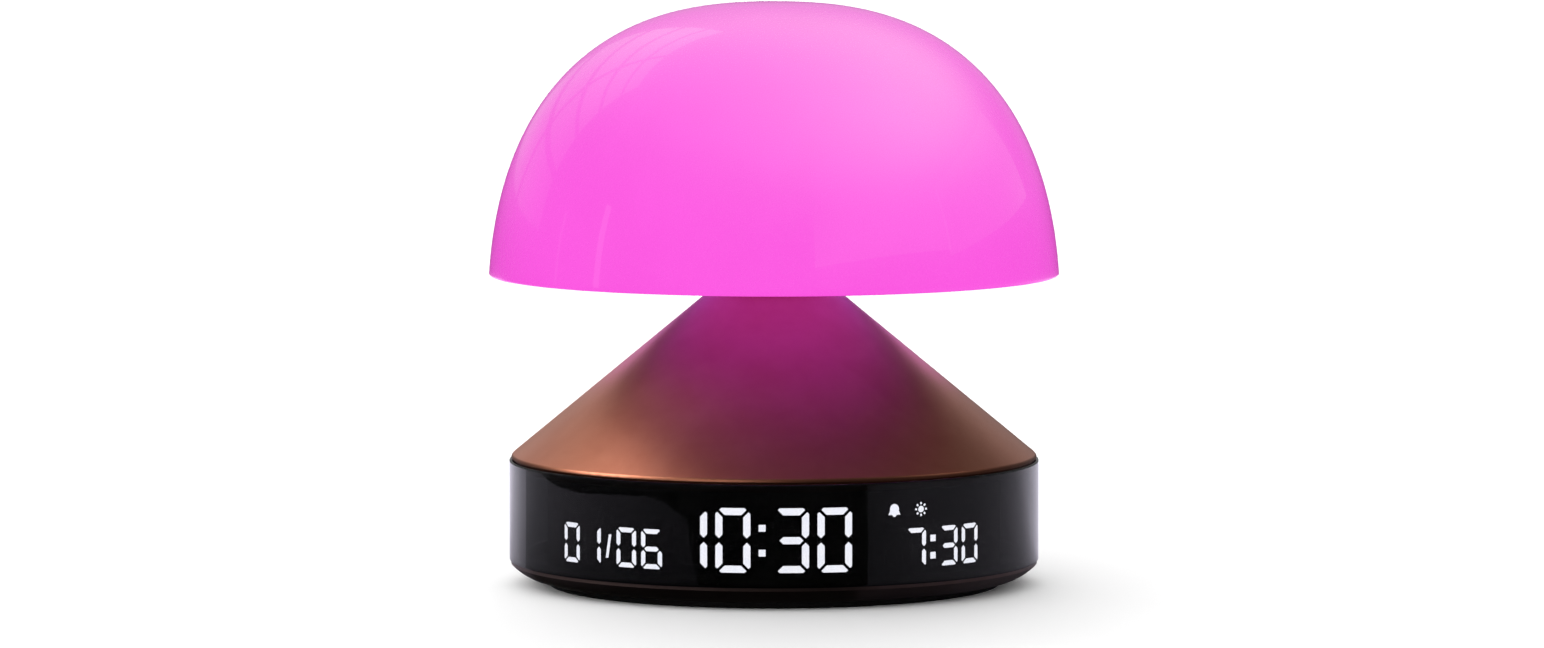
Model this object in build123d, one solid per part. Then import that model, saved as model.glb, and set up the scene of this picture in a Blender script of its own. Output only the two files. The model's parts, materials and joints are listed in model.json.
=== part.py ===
from build123d import *
import math
import os

# Sunrise alarm clock: a round opal lamp head on a copper cone, which stands on a drum with a
# curved smoked display window. Millimetres, +Z up, origin at the middle of the foot's underside.
# The display faces -Y and the controls face +Y. An angle around the body is counted in degrees
# from the front, positive to the right as seen from the front.

# ---------------------------------------------------------------------------- foot and base
FOOT_INSET = 4.0
FOOT_WIDTH = 6.0
FOOT_STAND = 2.0
FOOT_SEAT_DEPTH = 0.6
FOOT_SEAT_CLEARANCE = 0.15
FOOT_EDGE_ROUND = 0.5
BASE_LIP_INSET = 0.4
BASE_BEVEL_RUN = 4.9
BASE_BEVEL_HEIGHT = 3.2
BASE_BEVEL_BULGE = 0.35
BASE_LIP_HEIGHT = 0.8
BASE_FLOOR_WALL = 2.0
SPIGOT_WALL = 1.9
SPIGOT_HEIGHT = 2.0
SPIGOT_CLEARANCE = 0.25

# ---------------------------------------------------------------------------- display window
WINDOW_RADIUS = 65.6
WINDOW_WALL = 2.25
WINDOW_HEIGHT = 25.0
WINDOW_BEVEL = 0.4

# ---------------------------------------------------------------------------- copper cone
CONE_EDGE_INSET = 0.5
CONE_SLOPE = 39.6
CONE_WALL = 2.2
CONE_LIP_HEIGHT = 0.5
CONE_EDGE_ROUND = 1.0
SHADOW_GAP = 0.5
SHADOW_GAP_DEPTH = 0.9
NECK_RADIUS = 16.0
NECK_WALL = 2.0
NECK_COLLAR = 2.881
NECK_BELOW_RIM = 1.2
NECK_SLEEVE_LENGTH = 14.0

# ---------------------------------------------------------------------------- lamp head
SHADE_RADIUS = 70.95
SHADE_WALL = 2.2
SHADE_RISE = 81.5
SHADE_SIDE_POWER = 2.5
SHADE_TOP_POWER = 2.446
DOME_STEPS = 8
RIM_ABOVE_EQUATOR = 14.1
RIM_ROUND = 0.5
PLATE_RECESS = 3.0
PLATE_WALL = 2.0
PLATE_CLEARANCE = 0.25
PLATE_HUB_RADIUS = 20.0
PLATE_HUB_DROP = 1.0
LEDGE_WIDTH = 1.6
LEDGE_HEIGHT = 1.2
SNAP_COUNT = 6
SNAP_ANGLE = 7.0
SNAP_DEPTH = 1.3
SNAP_HEIGHT = 0.8
STEM_RADIUS = 10.0
STEM_BORE_RADIUS = 7.0
STEM_FLANGE_RADIUS = 18.0
STEM_FLANGE_WALL = 2.0
HEAD_TRAVEL = 1.2
STOP_GAP = 0.1
RUNNING_CLEARANCE = 0.06
CLIP_WALL = 1.2
CLIP_GROOVE_DEPTH = 1.0
CLIP_WIDTH = 2.6
CLIP_MOUTH = 12.0

# ---------------------------------------------------------------------------- neck bush
BUSH_FLANGE_RADIUS = 15.4
BUSH_FLANGE_WALL = 1.0
BUSH_TAIL = 4.0
BUSH_LAND_LENGTH = 8.0
SPRING_POCKET_RADIUS = 12.6
SPRING_WIRE_RADIUS = 0.45
SPRING_TURNS = 5
NUT_RADIUS = 17.5
NUT_WALL = 3.4

# ---------------------------------------------------------------------------- lamp lights
HEAT_SINK_WALL = 2.0
HEAT_SINK_MARGIN = 2.0
BOARD_WALL = 1.6
LED_BOARD_RADIUS = 42.0
LED_BOARD_HOLE_RADIUS = 20.0
LED_SIDE = 5.0
LED_HEIGHT = 1.6
LED_OUTER_MARGIN = 2.5
LED_OUTER_COUNT = 24
LED_INNER_MARGIN = 3.0
LED_INNER_COUNT = 12
HEAD_SCREW_CIRCLE = 14.4
HEAD_SCREW_COUNT = 3
HEAD_SCREW_COVER = 0.8
LED_SCREW_COUNT = 4

# ---------------------------------------------------------------------------- screws
SMALL_SHANK_RADIUS = 1.0
SMALL_HEAD_RADIUS = 1.9
SMALL_HEAD_HEIGHT = 1.2
SMALL_SCREW_BITE = 4.0
LARGE_SHANK_RADIUS = 1.5
LARGE_HEAD_RADIUS = 2.8
LARGE_HEAD_HEIGHT = 2.0
SNUG_CLEARANCE = 0.02
HOLE_CLEARANCE = 0.2

# ---------------------------------------------------------------------------- case fixings
CASE_BOSS_RADIUS = 4.0
CASE_BOSS_MARGIN = 0.3
CASE_BOSS_COUNT = 4
CASE_SPLIT_HEIGHT = 16.0
CASE_SCREW_SEAT = 6.0
CASE_SCREW_BITE = 9.0

# ---------------------------------------------------------------------------- display
DISPLAY_CLEARANCE = 0.15
INSERT_DEPTH = 1.2
INSERT_CLEARANCE = 0.05
MASK_DEPTH = 5.2
MASK_HALF_ANGLE = 59.0
DISPLAY_BOARD_WALL = 1.0
DISPLAY_BOARD_MARGIN = 0.6
CHIP_SIDE = 0.3
CHIP_DEPTH = 0.4

LARGE_DIGIT_WIDTH = 8.4
LARGE_DIGIT_HEIGHT = 15.6
LARGE_DIGIT_STROKE = 1.67
LARGE_DIGIT_MITRE = 0.55
LARGE_DIGIT_CUT = 1.4
LARGE_DIGIT_MIDDLE = 17.35
SMALL_DIGIT_WIDTH = 5.6
SMALL_DIGIT_HEIGHT = 9.6
SMALL_DIGIT_STROKE = 1.1
SMALL_DIGIT_MITRE = 0.35
SMALL_DIGIT_CUT = 0.85
SMALL_DIGIT_MIDDLE = 14.55

TIME_ANGLE = -2.6
TIME_INNER_ANGLE = 6.36
TIME_STEP_ANGLE = 9.5
TIME_COLON_RISE = 3.0
TIME_COLON_SIDE = 1.6
DATE_ANGLE = -38.7
DATE_INNER_ANGLE = 4.75
ALARM_ANGLE = 36.9
ALARM_INNER_ANGLE = 4.45
SMALL_STEP_ANGLE = 6.4
ALARM_COLON_RISE = 2.1
ALARM_COLON_SIDE = 1.55
SLASH_HEIGHT = 5.7
SLASH_STROKE = 0.75
SLASH_LEAN = 0.95

BELL_ANGLE = 27.0
SUN_ANGLE = 33.7
ICON_HEIGHT = 23.9
BELL_HALF_WIDTH = 1.6
BELL_WAIST_HALF_WIDTH = 1.12
BELL_RISE = 1.6
BELL_MOUTH_DROP = 1.0
BELL_CLAPPER_RADIUS = 0.5
SUN_CORE_RADIUS = 0.78
SUN_RAY_CIRCLE = 1.42
SUN_RAY_LENGTH = 0.52
SUN_RAY_WIDTH = 0.42
SUN_RAY_COUNT = 8

# ---------------------------------------------------------------------------- rear panel
PANEL_HALF_ANGLE = 33.0
PANEL_GAP = 0.15
BUTTON_NAMES = ("clock_button", "alarm_button", "minus_button", "plus_button", "light_button")
BUTTON_PITCH = 12.0
BUTTON_HEIGHT = 21.6
BUTTON_RADIUS = 4.2
BUTTON_CLEARANCE = 0.1
BUTTON_PROUD = 0.6
BUTTON_TRAVEL = 0.8
BUTTON_FLANGE_WIDTH = 1.0
BUTTON_FLANGE_WALL = 1.2
BUTTON_STEM_RADIUS = 1.8
BUTTON_STEM_LEAST = 2.5
BUTTON_BOARD_HALF_WIDTH = 31.0
BUTTON_BOARD_BOTTOM = 9.5
BUTTON_BOARD_TOP = 28.6
PANEL_BOSS_SPREAD = 20.0
PANEL_BOSS_HEIGHT = 12.4
PANEL_BOSS_RADIUS = 2.2
SWITCH_SIDE = 4.5
SWITCH_BODY = 1.6
SWITCH_CAP_RADIUS = 1.3
SWITCH_CAP_HEIGHT = 0.5
SWITCH_GAP = 0.05

# ---------------------------------------------------------------------------- power inlet
INLET_BOARD_HEIGHT = 8.8
INLET_BOARD_HALF_WIDTH = 12.0
INLET_BOARD_DEPTH = 13.0
INLET_BOARD_MARGIN = 3.35
INLET_BOSS_SPREAD = 8.5
INLET_BOSS_INSET = 4.5
INLET_BOSS_RADIUS = 2.4
INLET_NOTCH_MARGIN = 1.6
SOCKET_WIDTH = 8.94
SOCKET_THICK = 3.16
SOCKET_WALL = 0.3
SOCKET_LENGTH = 7.3
SOCKET_RECESS = 1.0
SOCKET_BACK_WALL = 0.8
TONGUE_WIDTH = 6.7
TONGUE_THICK = 0.7
TONGUE_LENGTH = 5.2

# ---------------------------------------------------------------------------- main board
MAIN_BOARD_MARGIN = 2.0
MAIN_BOARD_HEIGHT = 22.0
STANDOFF_INSET = 6.0
STANDOFF_RADIUS = 3.0
STANDOFF_COUNT = 4
HEAD_SWITCH_CIRCLE = 8.5
HEAD_SWITCH_COUNT = 3
HEAD_SWITCH_BODY = 3.6
CABLE_RADIUS = 1.3
CABLE_OVER_SINK = 3.2
CABLE_BEND_RADIUS = 8.0
LEAD_RADIUS = 0.7
LEAD_BEND_RADIUS = 4.0
LEAD_SIDE = 4.0
LEAD_INSET = 2.0
PLUG_SIDE = 5.0
PLUG_HEIGHT = 3.0
CELL_RADIUS = 10.0
CELL_WALL = 3.2
CELL_ANGLE = -135.0
HOLDER_FLOOR = 1.0
HOLDER_WALL = 1.2
HOLDER_INSET = 2.0
PART_INSET = 15.0
MODULE_WIDTH = 12.0
MODULE_DEPTH = 16.0
MODULE_HEIGHT = 2.4
MODULE_ANGLE = 135.0
PROCESSOR_SIDE = 9.0
PROCESSOR_HEIGHT = 1.2
PROCESSOR_ANGLE = 45.0
CAPACITOR_RADIUS = 4.0
CAPACITOR_HEIGHT = 9.0
CAPACITOR_ANGLE = -45.0
CAPACITOR_GAP = 1.5
RIBBON_WALL = 0.3
RIBBON_WIDTH = 12.0
RIBBON_CONNECTOR_DEPTH = 4.0
RIBBON_CONNECTOR_HEIGHT = 2.0

# ---------------------------------------------------------------------------- speaker
SPEAKER_RADIUS = 20.0
SPEAKER_FLANGE_WIDTH = 4.0
SPEAKER_FLANGE_WALL = 1.2
SPEAKER_DEPTH = 8.0
BASKET_WALL = 0.8
MAGNET_RADIUS = 11.0
MAGNET_HEIGHT = 5.0
MEMBRANE_WALL = 0.5
MEMBRANE_RISE = 3.4
DUST_CAP_RADIUS = 5.0
GASKET_WALL = 1.0
SPEAKER_CLEARANCE = 0.3
SPEAKER_RIB_WALL = 1.5
SPEAKER_SCREW_COUNT = 3
SPEAKER_SCREW_ANGLE = 45.0
SPEAKER_SCREW_OFFSET = 1.6
SPEAKER_SCREW_HEAD_RADIUS = 3.6
GRILLE_HOLE_RADIUS = 1.0
GRILLE_PITCH = 3.6
GRILLE_RINGS = 4

# ---------------------------------------------------------------------------- worked-out sizes
FLOOR_UNDERSIDE = FOOT_STAND
FLOOR_TOP = FLOOR_UNDERSIDE + BASE_FLOOR_WALL
WINDOW_BOTTOM = FLOOR_UNDERSIDE + BASE_BEVEL_HEIGHT + BASE_LIP_HEIGHT
WINDOW_TOP = WINDOW_BOTTOM + WINDOW_HEIGHT
WINDOW_BORE = WINDOW_RADIUS - WINDOW_WALL
BASE_LIP_RADIUS = WINDOW_RADIUS - BASE_LIP_INSET
BASE_FLOOR_RADIUS = BASE_LIP_RADIUS - BASE_BEVEL_RUN
FOOT_RADIUS = BASE_FLOOR_RADIUS - FOOT_INSET
FOOT_BORE = FOOT_RADIUS - FOOT_WIDTH
CASE_BOSS_CIRCLE = FOOT_BORE - CASE_BOSS_RADIUS - CASE_BOSS_MARGIN
CONE_EDGE_RADIUS = WINDOW_RADIUS - CONE_EDGE_INSET
DISPLAY_RADIUS = WINDOW_BORE - DISPLAY_CLEARANCE
SPIGOT_RADIUS = WINDOW_BORE - SPIGOT_CLEARANCE
SPIGOT_BORE = SPIGOT_RADIUS - SPIGOT_WALL
MASK_BOTTOM = WINDOW_BOTTOM + SPIGOT_HEIGHT
MASK_TOP = WINDOW_TOP - SPIGOT_HEIGHT - SPIGOT_CLEARANCE
CONE_BOTTOM = WINDOW_TOP + SHADOW_GAP
CONE_SLOPE_START = CONE_BOTTOM + CONE_LIP_HEIGHT
SLOPE_RATIO = math.tan(math.radians(CONE_SLOPE))
CONE_INNER_DROP = CONE_WALL / math.cos(math.radians(CONE_SLOPE))
NECK_TOP = CONE_SLOPE_START + (CONE_EDGE_RADIUS - NECK_RADIUS) * SLOPE_RATIO + NECK_COLLAR
RIM_HEIGHT = NECK_TOP + NECK_BELOW_RIM
NECK_BORE = NECK_RADIUS - NECK_WALL
SLEEVE_BOTTOM = NECK_TOP - NECK_SLEEVE_LENGTH
BUSH_TOP = NECK_TOP + BUSH_FLANGE_WALL
BUSH_BOTTOM = SLEEVE_BOTTOM - BUSH_TAIL
SPRING_SEAT = BUSH_BOTTOM + BUSH_LAND_LENGTH
EQUATOR_HEIGHT = RIM_HEIGHT - RIM_ABOVE_EQUATOR
PLATE_BOTTOM = RIM_HEIGHT + PLATE_RECESS
PLATE_TOP = PLATE_BOTTOM + PLATE_WALL
HUB_BOTTOM = PLATE_BOTTOM - PLATE_HUB_DROP
SINK_BOTTOM = PLATE_TOP + STEM_FLANGE_WALL
SINK_TOP = SINK_BOTTOM + HEAT_SINK_WALL
HEAT_SINK_RADIUS = LED_BOARD_RADIUS + HEAT_SINK_MARGIN
LED_BOARD_TOP = SINK_TOP + BOARD_WALL
LED_OUTER_CIRCLE = LED_BOARD_RADIUS - LED_OUTER_MARGIN - LED_SIDE / 2
LED_INNER_CIRCLE = LED_BOARD_HOLE_RADIUS + LED_INNER_MARGIN + LED_SIDE / 2
LED_SCREW_CIRCLE = (LED_OUTER_CIRCLE + LED_INNER_CIRCLE) / 2
CLIP_TOP = BUSH_BOTTOM - STOP_GAP
MAIN_BOARD_RADIUS = CASE_BOSS_CIRCLE - CASE_BOSS_RADIUS - MAIN_BOARD_MARGIN
MAIN_BOARD_TOP = MAIN_BOARD_HEIGHT + BOARD_WALL
STANDOFF_CIRCLE = MAIN_BOARD_RADIUS - STANDOFF_INSET
PART_CIRCLE = MAIN_BOARD_RADIUS - PART_INSET
HOLDER_RADIUS = CELL_RADIUS + HOLDER_WALL
CELL_CIRCLE = MAIN_BOARD_RADIUS - HOLDER_RADIUS - HOLDER_INSET
LEAD_RISE_DEPTH = MAIN_BOARD_RADIUS - LEAD_INSET
HEAD_SWITCH_TOP = MAIN_BOARD_TOP + HEAD_SWITCH_BODY + SWITCH_CAP_HEIGHT
STEM_BOTTOM = HEAD_SWITCH_TOP + SWITCH_GAP + HEAD_TRAVEL
CABLE_LEVEL = SINK_TOP + CABLE_OVER_SINK
OUTER_BUTTON_REACH = (len(BUTTON_NAMES) - 1) / 2 * BUTTON_PITCH + BUTTON_RADIUS + BUTTON_FLANGE_WIDTH
OUTER_FLANGE_BACK = math.sqrt(WINDOW_BORE**2 - OUTER_BUTTON_REACH**2) - STOP_GAP - BUTTON_FLANGE_WALL
BUTTON_SWITCH_TOP = OUTER_FLANGE_BACK - BUTTON_STEM_LEAST - BUTTON_TRAVEL - SWITCH_GAP
BUTTON_BOARD_BACK = BUTTON_SWITCH_TOP - SWITCH_CAP_HEIGHT - SWITCH_BODY
BUTTON_BOARD_DEPTH = BUTTON_BOARD_BACK - BOARD_WALL
INLET_BOARD_BACK = WINDOW_BORE - INLET_BOARD_MARGIN
INLET_BOARD_FRONT = INLET_BOARD_BACK - INLET_BOARD_DEPTH
INLET_BOSS_DEPTH = INLET_BOARD_FRONT + INLET_BOSS_INSET
INLET_BOARD_TOP = INLET_BOARD_HEIGHT + BOARD_WALL
SOCKET_HEIGHT = INLET_BOARD_TOP + SOCKET_THICK / 2
SOCKET_MOUTH = WINDOW_RADIUS - SOCKET_RECESS
SPEAKER_SEAT = FLOOR_TOP + GASKET_WALL
SPEAKER_FLANGE_TOP = SPEAKER_SEAT + SPEAKER_FLANGE_WALL
MAGNET_BOTTOM = SPEAKER_SEAT + SPEAKER_DEPTH
SPEAKER_RIB_BORE = SPEAKER_RADIUS + SPEAKER_CLEARANCE
SPEAKER_SCREW_CIRCLE = SPEAKER_RIB_BORE + SPEAKER_RIB_WALL + SPEAKER_SCREW_OFFSET

UP_FROM = (Align.CENTER, Align.CENTER, Align.MIN)


# ---------------------------------------------------------------------------- shape helpers
def disc(radius, bottom, top, at=(0, 0)):
    """A round plate or rod between two heights."""
    return Pos(at[0], at[1], bottom) * Cylinder(radius, top - bottom, align=UP_FROM)


def ring(inner, outer, bottom, top, at=(0, 0)):
    """A round plate with a hole."""
    return disc(outer, bottom, top, at) - disc(inner, bottom, top, at)


def block(width, depth, bottom, top, at=(0, 0), turn=0):
    """A rectangular block between two heights, turned about its own middle."""
    return Pos(at[0], at[1], bottom) * Rot(0, 0, turn) * Box(width, depth, top - bottom, align=UP_FROM)


def spun(*corners):
    """A solid of revolution about the body's axis from (radius, height) corners."""
    outline = Polyline(*[(radius, 0, height) for radius, height in corners], close=True)
    return revolve(make_face(outline), Axis.Z)


def around(radius, angle):
    """The plan position at an angle counted from the front."""
    turn = math.radians(angle)
    return (radius * math.sin(turn), -radius * math.cos(turn))


def beside(radius, angle, shift):
    """The plan position at an angle counted from the front, moved sideways."""
    x, y = around(radius, angle)
    turn = math.radians(angle)
    return (x + shift * math.cos(turn), y + shift * math.sin(turn))


def spread(count, radius, first=0.0):
    """Evenly spaced plan positions on a circle."""
    return [around(radius, first + 360 * index / count) for index in range(count)]


def wedge(angle, half_angle, reach, bottom, top):
    """A sector of the whole body's depth, for half angles under a right angle."""
    far = reach / math.cos(math.radians(half_angle))
    left = around(far, angle - half_angle)
    right = around(far, angle + half_angle)
    return Pos(0, 0, bottom) * extrude(Polygon((0, 0), left, right, align=None), top - bottom)


def round_slot(width, thick, front, back, height):
    """A rod along Y with a slot-shaped section."""
    plane = Plane(origin=(0, front, height), x_dir=(1, 0, 0), z_dir=(0, 1, 0))
    return extrude(plane * SlotOverall(width, thick), back - front)


def rod_back(radius, front, back, at):
    """A round rod along Y at (x, z)."""
    plane = Plane(origin=(at[0], front, at[1]), x_dir=(1, 0, 0), z_dir=(0, 1, 0))
    return plane * Cylinder(radius, back - front, align=UP_FROM)


def screw(at, seat, length, shank, head, head_height, direction=1):
    """A screw that points down from its seat, or up from it where direction is -1."""
    tail = seat - direction * length
    crown = seat + direction * head_height
    body = disc(shank, min(seat, tail), max(seat, tail), at)
    return body + disc(head, min(seat, crown), max(seat, crown), at)


def group(pieces):
    """Separate solids kept together in one node."""
    return Compound(children=[solid for piece in pieces for solid in piece.solids()])


# ---------------------------------------------------------------------------- cone geometry
def cone_outer_height(radius):
    """Height of the cone's outer face at a radius."""
    return CONE_SLOPE_START + (CONE_EDGE_RADIUS - radius) * SLOPE_RATIO


def cone_inner_height(radius):
    """Height of the cone's inner face at a radius."""
    return cone_outer_height(radius) - CONE_INNER_DROP


# ---------------------------------------------------------------------------- shade geometry
def dome_point(turn, wall):
    """A point of the dome's outline, moved in by a wall thickness."""
    radius = (SHADE_RADIUS - wall) * math.cos(turn) ** (2 / SHADE_SIDE_POWER)
    rise = (SHADE_RISE - wall) * math.sin(turn) ** (2 / SHADE_TOP_POWER)
    return radius, EQUATOR_HEIGHT + rise


def dome_turn(height, wall):
    """The outline's parameter at a height."""
    share = (height - EQUATOR_HEIGHT) / (SHADE_RISE - wall)
    return math.asin(share ** (SHADE_TOP_POWER / 2))


def dome_radius(height, wall):
    """The dome's radius at a height."""
    return dome_point(dome_turn(height, wall), wall)[0]


def dome_curve(height, wall):
    """The dome's outline from a height near the rim up to the crown."""
    first = dome_turn(height, wall)
    last = math.pi / 2
    turns = [first + (last - first) * step / DOME_STEPS for step in range(DOME_STEPS)]
    points = [dome_point(turn, wall) for turn in turns]
    points.append((0.0, EQUATOR_HEIGHT + SHADE_RISE - wall))
    lean = dome_radius(height + RIM_ROUND / 2, wall) - dome_radius(height - RIM_ROUND / 2, wall)
    return Spline(
        *[(radius, 0, rise) for radius, rise in points],
        tangents=[(lean, 0, RIM_ROUND), (-1, 0, 0)],
        tangent_scalars=[1.0, 1.0],
    )


# ---------------------------------------------------------------------------- lamp head
def lampshade():
    """The opal dome, open below, with a ledge and snaps for its underplate."""
    start = RIM_HEIGHT + RIM_ROUND
    outer = dome_curve(start, 0.0)
    inner = dome_curve(start, SHADE_WALL)
    outer_radius = dome_radius(start, 0.0)
    inner_radius = dome_radius(start, SHADE_WALL)
    rounding = RIM_ROUND * (1 - math.sqrt(0.5))
    outer_round = ThreePointArc(
        (outer_radius, 0, start),
        (outer_radius - rounding, 0, RIM_HEIGHT + rounding),
        (outer_radius - RIM_ROUND, 0, RIM_HEIGHT),
    )
    rim = Line((outer_radius - RIM_ROUND, 0, RIM_HEIGHT), (inner_radius + RIM_ROUND, 0, RIM_HEIGHT))
    inner_round = ThreePointArc(
        (inner_radius + RIM_ROUND, 0, RIM_HEIGHT),
        (inner_radius + rounding, 0, RIM_HEIGHT + rounding),
        (inner_radius, 0, start),
    )
    crown = Line(inner @ 1, outer @ 1)
    shell = revolve(make_face([outer, outer_round, rim, inner_round, inner, crown]), Axis.Z)
    hidden = SHADE_WALL / 2
    ledge_radius = dome_radius(PLATE_TOP, SHADE_WALL)
    ledge_top = PLATE_TOP + LEDGE_HEIGHT
    ledge = ring(ledge_radius - LEDGE_WIDTH, ledge_radius + hidden, PLATE_TOP, ledge_top)
    snap_top = PLATE_BOTTOM
    snap_ring = ring(inner_radius - SNAP_DEPTH, inner_radius + hidden, snap_top - SNAP_HEIGHT, snap_top)
    shell += ledge
    for index in range(SNAP_COUNT):
        sector = wedge(360 * index / SNAP_COUNT, SNAP_ANGLE, SHADE_RADIUS, RIM_HEIGHT, PLATE_TOP)
        shell += snap_ring & sector
    return shell


def shade_underplate():
    """The disc that closes the shade from below, with a thicker hub for the stem."""
    radius = dome_radius(PLATE_TOP, SHADE_WALL) - PLATE_CLEARANCE
    plate = disc(radius, PLATE_BOTTOM, PLATE_TOP) + disc(PLATE_HUB_RADIUS, HUB_BOTTOM, PLATE_BOTTOM)
    plate -= disc(STEM_RADIUS + HOLE_CLEARANCE, HUB_BOTTOM, PLATE_TOP)
    for at in spread(HEAD_SCREW_COUNT, HEAD_SCREW_CIRCLE):
        pilot = SMALL_SHANK_RADIUS + SNUG_CLEARANCE
        plate -= disc(pilot, HUB_BOTTOM + HEAD_SCREW_COVER, PLATE_TOP, at)
    return plate


def head_stem():
    """The flanged tube that guides the lamp head in the neck and carries its wires."""
    stem = disc(STEM_RADIUS, STEM_BOTTOM, PLATE_TOP)
    stem += disc(STEM_FLANGE_RADIUS, PLATE_TOP, SINK_BOTTOM)
    stem -= disc(STEM_BORE_RADIUS, STEM_BOTTOM, SINK_BOTTOM)
    stem -= ring(STEM_RADIUS - CLIP_GROOVE_DEPTH, STEM_RADIUS, CLIP_TOP - CLIP_WALL, CLIP_TOP)
    for at in spread(HEAD_SCREW_COUNT, HEAD_SCREW_CIRCLE):
        stem -= disc(SMALL_SHANK_RADIUS + HOLE_CLEARANCE, PLATE_TOP, SINK_BOTTOM, at)
    return stem


def stem_clip():
    """The open retaining ring in the stem's groove, which stops the head from lifting out."""
    inner = STEM_RADIUS - CLIP_GROOVE_DEPTH + SNUG_CLEARANCE
    clip = ring(inner, inner + CLIP_WIDTH, CLIP_TOP - CLIP_WALL + SNUG_CLEARANCE, CLIP_TOP)
    mouth = block(CLIP_MOUTH, SHADE_RADIUS, CLIP_TOP - CLIP_WALL, CLIP_TOP, (0, SHADE_RADIUS / 2))
    return clip - mouth


def heat_sink():
    """The aluminium plate that spreads the lamp's heat."""
    plate = ring(STEM_BORE_RADIUS, HEAT_SINK_RADIUS, SINK_BOTTOM, SINK_TOP)
    for at in spread(HEAD_SCREW_COUNT, HEAD_SCREW_CIRCLE):
        plate -= disc(SMALL_SHANK_RADIUS + HOLE_CLEARANCE, SINK_BOTTOM, SINK_TOP, at)
    for at in led_screw_places():
        plate -= disc(SMALL_SHANK_RADIUS + SNUG_CLEARANCE, SINK_BOTTOM, SINK_TOP, at)
    return plate


def led_screw_places():
    """Where the lamp board is fixed, between its two rows of lights."""
    return spread(LED_SCREW_COUNT, LED_SCREW_CIRCLE, 360 / LED_INNER_COUNT)


def led_board():
    """The ring-shaped lamp board."""
    board = ring(LED_BOARD_HOLE_RADIUS, LED_BOARD_RADIUS, SINK_TOP, LED_BOARD_TOP)
    for at in led_screw_places():
        board -= disc(SMALL_SHANK_RADIUS + HOLE_CLEARANCE, SINK_TOP, LED_BOARD_TOP, at)
    return board


def shade_lights():
    """Two rows of colour light packages on the lamp board."""
    rows = ((LED_OUTER_CIRCLE, LED_OUTER_COUNT), (LED_INNER_CIRCLE, LED_INNER_COUNT))
    pieces = []
    for radius, count in rows:
        for index in range(count):
            angle = 360 * (index + 0.5) / count
            at = around(radius, angle)
            pieces.append(block(LED_SIDE, LED_SIDE, LED_BOARD_TOP, LED_BOARD_TOP + LED_HEIGHT, at, angle))
    return group(pieces)


def head_connector():
    """The cable's connector on the lamp board."""
    middle = LED_BOARD_HOLE_RADIUS + PLUG_SIDE / 2
    top = CABLE_LEVEL + CABLE_RADIUS + CABLE_RADIUS / 2
    return block(PLUG_SIDE, PLUG_SIDE, LED_BOARD_TOP, top, (middle, 0))


def head_screws():
    """Screws that clamp heat sink, stem flange and underplate together."""
    length = SINK_TOP - HUB_BOTTOM - HEAD_SCREW_COVER
    places = spread(HEAD_SCREW_COUNT, HEAD_SCREW_CIRCLE)
    sizes = (SMALL_SHANK_RADIUS, SMALL_HEAD_RADIUS, SMALL_HEAD_HEIGHT)
    return group([screw(at, SINK_TOP, length, *sizes) for at in places])


def led_board_screws():
    """Screws that hold the lamp board on the heat sink."""
    length = BOARD_WALL + HEAT_SINK_WALL
    sizes = (SMALL_SHANK_RADIUS, SMALL_HEAD_RADIUS, SMALL_HEAD_HEIGHT)
    return group([screw(at, LED_BOARD_TOP, length, *sizes) for at in led_screw_places()])


def head_cable():
    """The lamp's cable: from the main board up the stem's bore and across to its connector."""
    bottom = MAIN_BOARD_TOP + PLUG_HEIGHT
    path = FilletPolyline(
        (0, 0, bottom),
        (0, 0, CABLE_LEVEL),
        (LED_BOARD_HOLE_RADIUS, 0, CABLE_LEVEL),
        radius=CABLE_BEND_RADIUS,
    )
    return sweep(Plane(origin=(0, 0, bottom)) * Circle(CABLE_RADIUS), path=path)


# ---------------------------------------------------------------------------- neck
def neck_bush():
    """The flanged bush in the cone's neck: a running bore below and a spring pocket above."""
    outer = NECK_BORE - SNUG_CLEARANCE
    bush = disc(outer, BUSH_BOTTOM, NECK_TOP) + disc(BUSH_FLANGE_RADIUS, NECK_TOP, BUSH_TOP)
    bush -= disc(STEM_RADIUS + RUNNING_CLEARANCE, BUSH_BOTTOM, SPRING_SEAT)
    bush -= disc(SPRING_POCKET_RADIUS, SPRING_SEAT, BUSH_TOP)
    return bush


def bush_nut():
    """The hexagon nut that clamps the bush from inside the cone."""
    prism = Pos(0, 0, SLEEVE_BOTTOM - NUT_WALL) * extrude(RegularPolygon(NUT_RADIUS, 6), NUT_WALL)
    return prism - disc(NECK_BORE, SLEEVE_BOTTOM - NUT_WALL, SLEEVE_BOTTOM)


def head_spring():
    """The coil spring that lifts the lamp head against its clip."""
    coil_radius = (STEM_RADIUS + SPRING_POCKET_RADIUS) / 2
    low = SPRING_SEAT + SPRING_WIRE_RADIUS + SWITCH_GAP
    high = HUB_BOTTOM - SPRING_WIRE_RADIUS - SWITCH_GAP
    path = Pos(0, 0, low) * Helix((high - low) / SPRING_TURNS, high - low, coil_radius)
    section = Plane(origin=path @ 0, z_dir=path % 0) * Circle(SPRING_WIRE_RADIUS)
    return sweep(section, path=path, is_frenet=True)


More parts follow.
